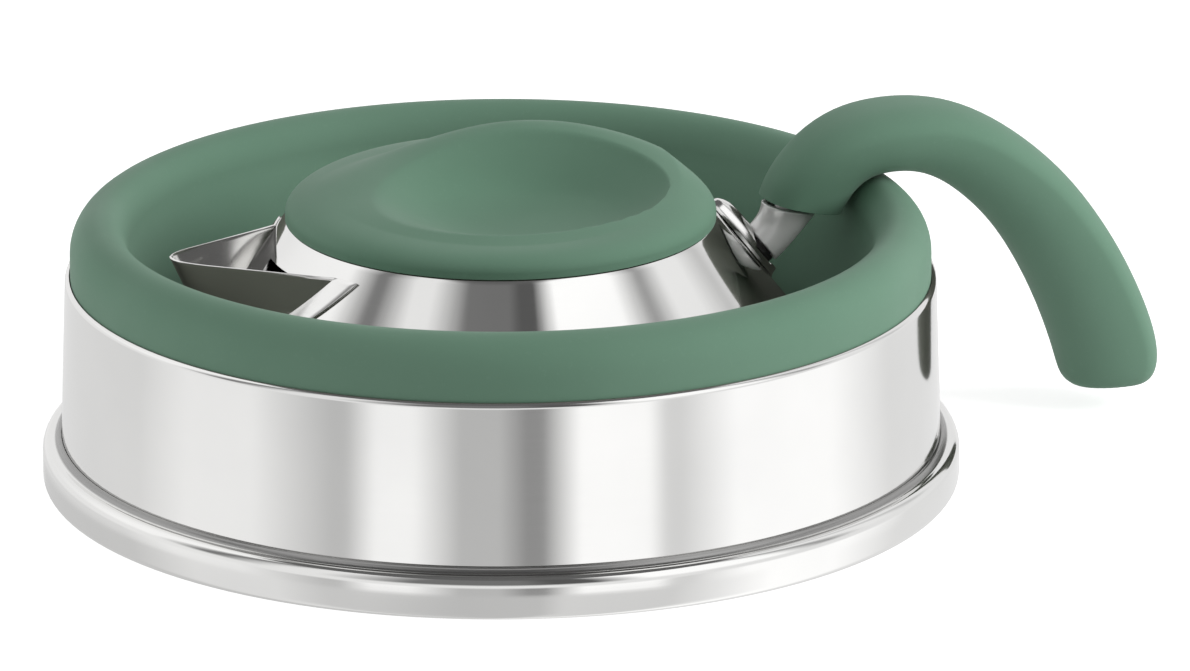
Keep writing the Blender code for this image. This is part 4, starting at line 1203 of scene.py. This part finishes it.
FLOOR_BLEND = (-0.300, -0.315)   # upward part of a direction over which one row becomes the next
LOW_BLEND = (-0.20, -0.08)
HIGH_BLEND = (0.12, 0.30)
TOP_BLEND = (0.85, 0.88)
STEEL_SHARE = 0.81               # of the light that steel mirrors
SCREEN_POWER = 2.2


def camera_side():
    """Unit directions to the camera's right, and level towards the camera."""
    right = Vector((cos(CAMERA_AZIMUTH), sin(CAMERA_AZIMUTH), 0))
    toward = Vector((sin(CAMERA_AZIMUTH), -cos(CAMERA_AZIMUTH), 0))
    return right, toward


def as_shown(grey):
    """The light that shows on the screen as this grey."""
    light = grey ** SCREEN_POWER
    return (light, light, light, 1)


def band_ramp(w, turn, panels):
    """A ramp round the room, even across each panel and running over into the next."""
    edges = [(middle + side * half, grey) for middle, half, grey in panels for side in (-1, 1)]
    around = sorted((turned + lap, grey) for turned, grey in edges for lap in (-360, 0, 360))
    inside = [(turned, grey) for turned, grey in around if -180 < turned < 180]
    ramp = w.node("ShaderNodeValToRGB", {0: turn})
    stops = ramp.color_ramp.elements
    stops[0].position = 0
    stops[1].position = 1
    for turned, grey in inside:
        stops.new((turned + 180) / 360)
    seam = panels[-1][2]
    greys = [seam] + [grey for turned, grey in inside] + [seam]
    for stop, grey in zip(stops, greys):
        stop.color = as_shown(grey)
    return ramp.outputs["Color"]


class MakeStage(bpy.types.Operator):
    """Make the floor, the soft light and the camera"""

    bl_idname = "kettle.make_stage"
    bl_label = "Stage"

    def execute(self, context):
        make_floor()
        make_room(context)
        make_lamps(context)
        make_camera(context)
        context.scene.view_settings.view_transform = "Standard"
        return {"FINISHED"}


def make_floor():
    bpy.ops.object.select_all(action="DESELECT")
    bpy.ops.mesh.primitive_plane_add(size=FLOOR_SIZE, location=(0, 0, -FLOOR_DROP))
    floor = bpy.context.object
    floor.name = "floor"
    floor.visible_glossy = False
    material, w, shader, place = new_surface("pale_floor")
    grain = w.noise(place, FLOOR_GRAIN_SCALE, GRAIN_DETAIL)
    w.join(w.mix(grain, tone("floor"), tone("floor", FLOOR_DARK_SHARE)), shader.inputs["Base Color"])
    w.join(FLOOR_ROUGHNESS, shader.inputs["Roughness"])
    w.join(0, shader.inputs["Specular IOR Level"])
    seen = w.node("ShaderNodeLightPath").outputs["Is Camera Ray"]
    glow = w.node("ShaderNodeEmission", {"Strength": w.math("MULTIPLY", seen, FLOOR_GLOW)})
    both = w.node("ShaderNodeAddShader", {0: shader.outputs["BSDF"], 1: glow.outputs["Emission"]})
    w.join(both.outputs["Shader"], material.node_tree.nodes["Material Output"].inputs["Surface"])
    floor.data.materials.append(material)


def make_room(context):
    """White to the camera, an even level for matt surfaces, soft boxes for the steel."""
    world = bpy.data.worlds.new("studio")
    world.use_nodes = True
    context.scene.world = world
    w = Wiring(world.node_tree)
    way = w.node("ShaderNodeTexCoord").outputs["Generated"]
    sides = [w.node("ShaderNodeVectorMath", {0: way, 1: side}, operation="DOT_PRODUCT").outputs["Value"]
             for side in camera_side()]
    share = w.remap(w.math("ARCTAN2", *sides), (-pi, pi))
    height = w.node("ShaderNodeSeparateXYZ", {0: way}).outputs["Z"]
    row = band_ramp(w, share, PANELS_LOW)
    for blend, above in ((FLOOR_BLEND, band_ramp(w, share, PANELS_FLOOR)), (LOW_BLEND, as_shown(LEVEL_GREY)),
                         (HIGH_BLEND, band_ramp(w, share, PANELS_HIGH)), (TOP_BLEND, as_shown(TOP_GREY))):
        row = w.mix(w.remap(height, blend), row, above)
    bands = w.node("ShaderNodeVectorMath", {0: row, "Scale": 1 / STEEL_SHARE}, operation="SCALE")
    seen = w.node("ShaderNodeLightPath").outputs
    level = (DIFFUSE_LEVEL, DIFFUSE_LEVEL, DIFFUSE_LEVEL, 1)
    light = w.mix(seen["Is Glossy Ray"], level, bands.outputs["Vector"])
    light = w.mix(seen["Is Camera Ray"], light, (1, 1, 1, 1))
    w.join(light, world.node_tree.nodes["Background"].inputs["Color"])


def add_object(context, name, data, place, back):
    """A lamp or camera whose back looks along a direction."""
    made = bpy.data.objects.new(name, data)
    context.scene.collection.objects.link(made)
    made.location = place
    made.rotation_euler = back.to_track_quat("Z", "Y").to_euler()
    return made


def make_lamps(context):
    right, toward = camera_side()
    for name, (x, y, z), size, power in LAMPS:
        lamp = bpy.data.lights.new(name, "AREA")
        lamp.energy = power
        lamp.size = size
        place = right * x + toward * y + Vector((0, 0, z))
        holder = add_object(context, name, lamp, place, place)
        holder.visible_glossy = False
        holder.visible_camera = False


def make_camera(context):
    lens = bpy.data.cameras.new("camera")
    lens.lens = CAMERA_LENS
    lens.sensor_width = SENSOR_WIDTH
    away = camera_side()[1] * cos(CAMERA_ELEVATION) + Vector((0, 0, sin(CAMERA_ELEVATION)))
    place = CAMERA_TARGET + away * CAMERA_DISTANCE
    context.scene.camera = add_object(context, "camera", lens, place, away)


class KettlePanel(bpy.types.Panel):
    """Lists the kettle's pieces in the sidebar"""

    bl_idname = "VIEW3D_PT_kettle"
    bl_label = "Collapsible Kettle"
    bl_space_type = "VIEW_3D"
    bl_region_type = "UI"
    bl_category = "Kettle"

    def draw(self, context):
        for operator in PIECE_OPERATORS:
            self.layout.operator(operator.bl_idname)


PIECE_OPERATORS = (MakeBase, MakeWall, MakeDome, MakeSpout, MakeHandleMount, MakeGrip, MakeLid,
                   DressFittings, MakeStage)
CLASSES = (KettleSizes, KettleColours, *PIECE_OPERATORS, KettlePanel)


def register():
    for item in CLASSES:
        bpy.utils.register_class(item)
    bpy.types.Scene.kettle_sizes = bpy.props.PointerProperty(type=KettleSizes)
    bpy.types.Scene.kettle_colours = bpy.props.PointerProperty(type=KettleColours)


def unregister():
    del bpy.types.Scene.kettle_colours
    del bpy.types.Scene.kettle_sizes
    for item in reversed(CLASSES):
        bpy.utils.unregister_class(item)


def main():
    register()
    bpy.ops.kettle.make_base()
    bpy.ops.kettle.make_wall()
    bpy.ops.kettle.make_dome()
    bpy.ops.kettle.make_spout()
    bpy.ops.kettle.make_handle_mount()
    bpy.ops.kettle.make_grip()
    bpy.ops.kettle.make_lid()
    bpy.ops.kettle.dress_fittings()
    bpy.ops.kettle.make_stage()


if __name__ == "__main__":
    main()
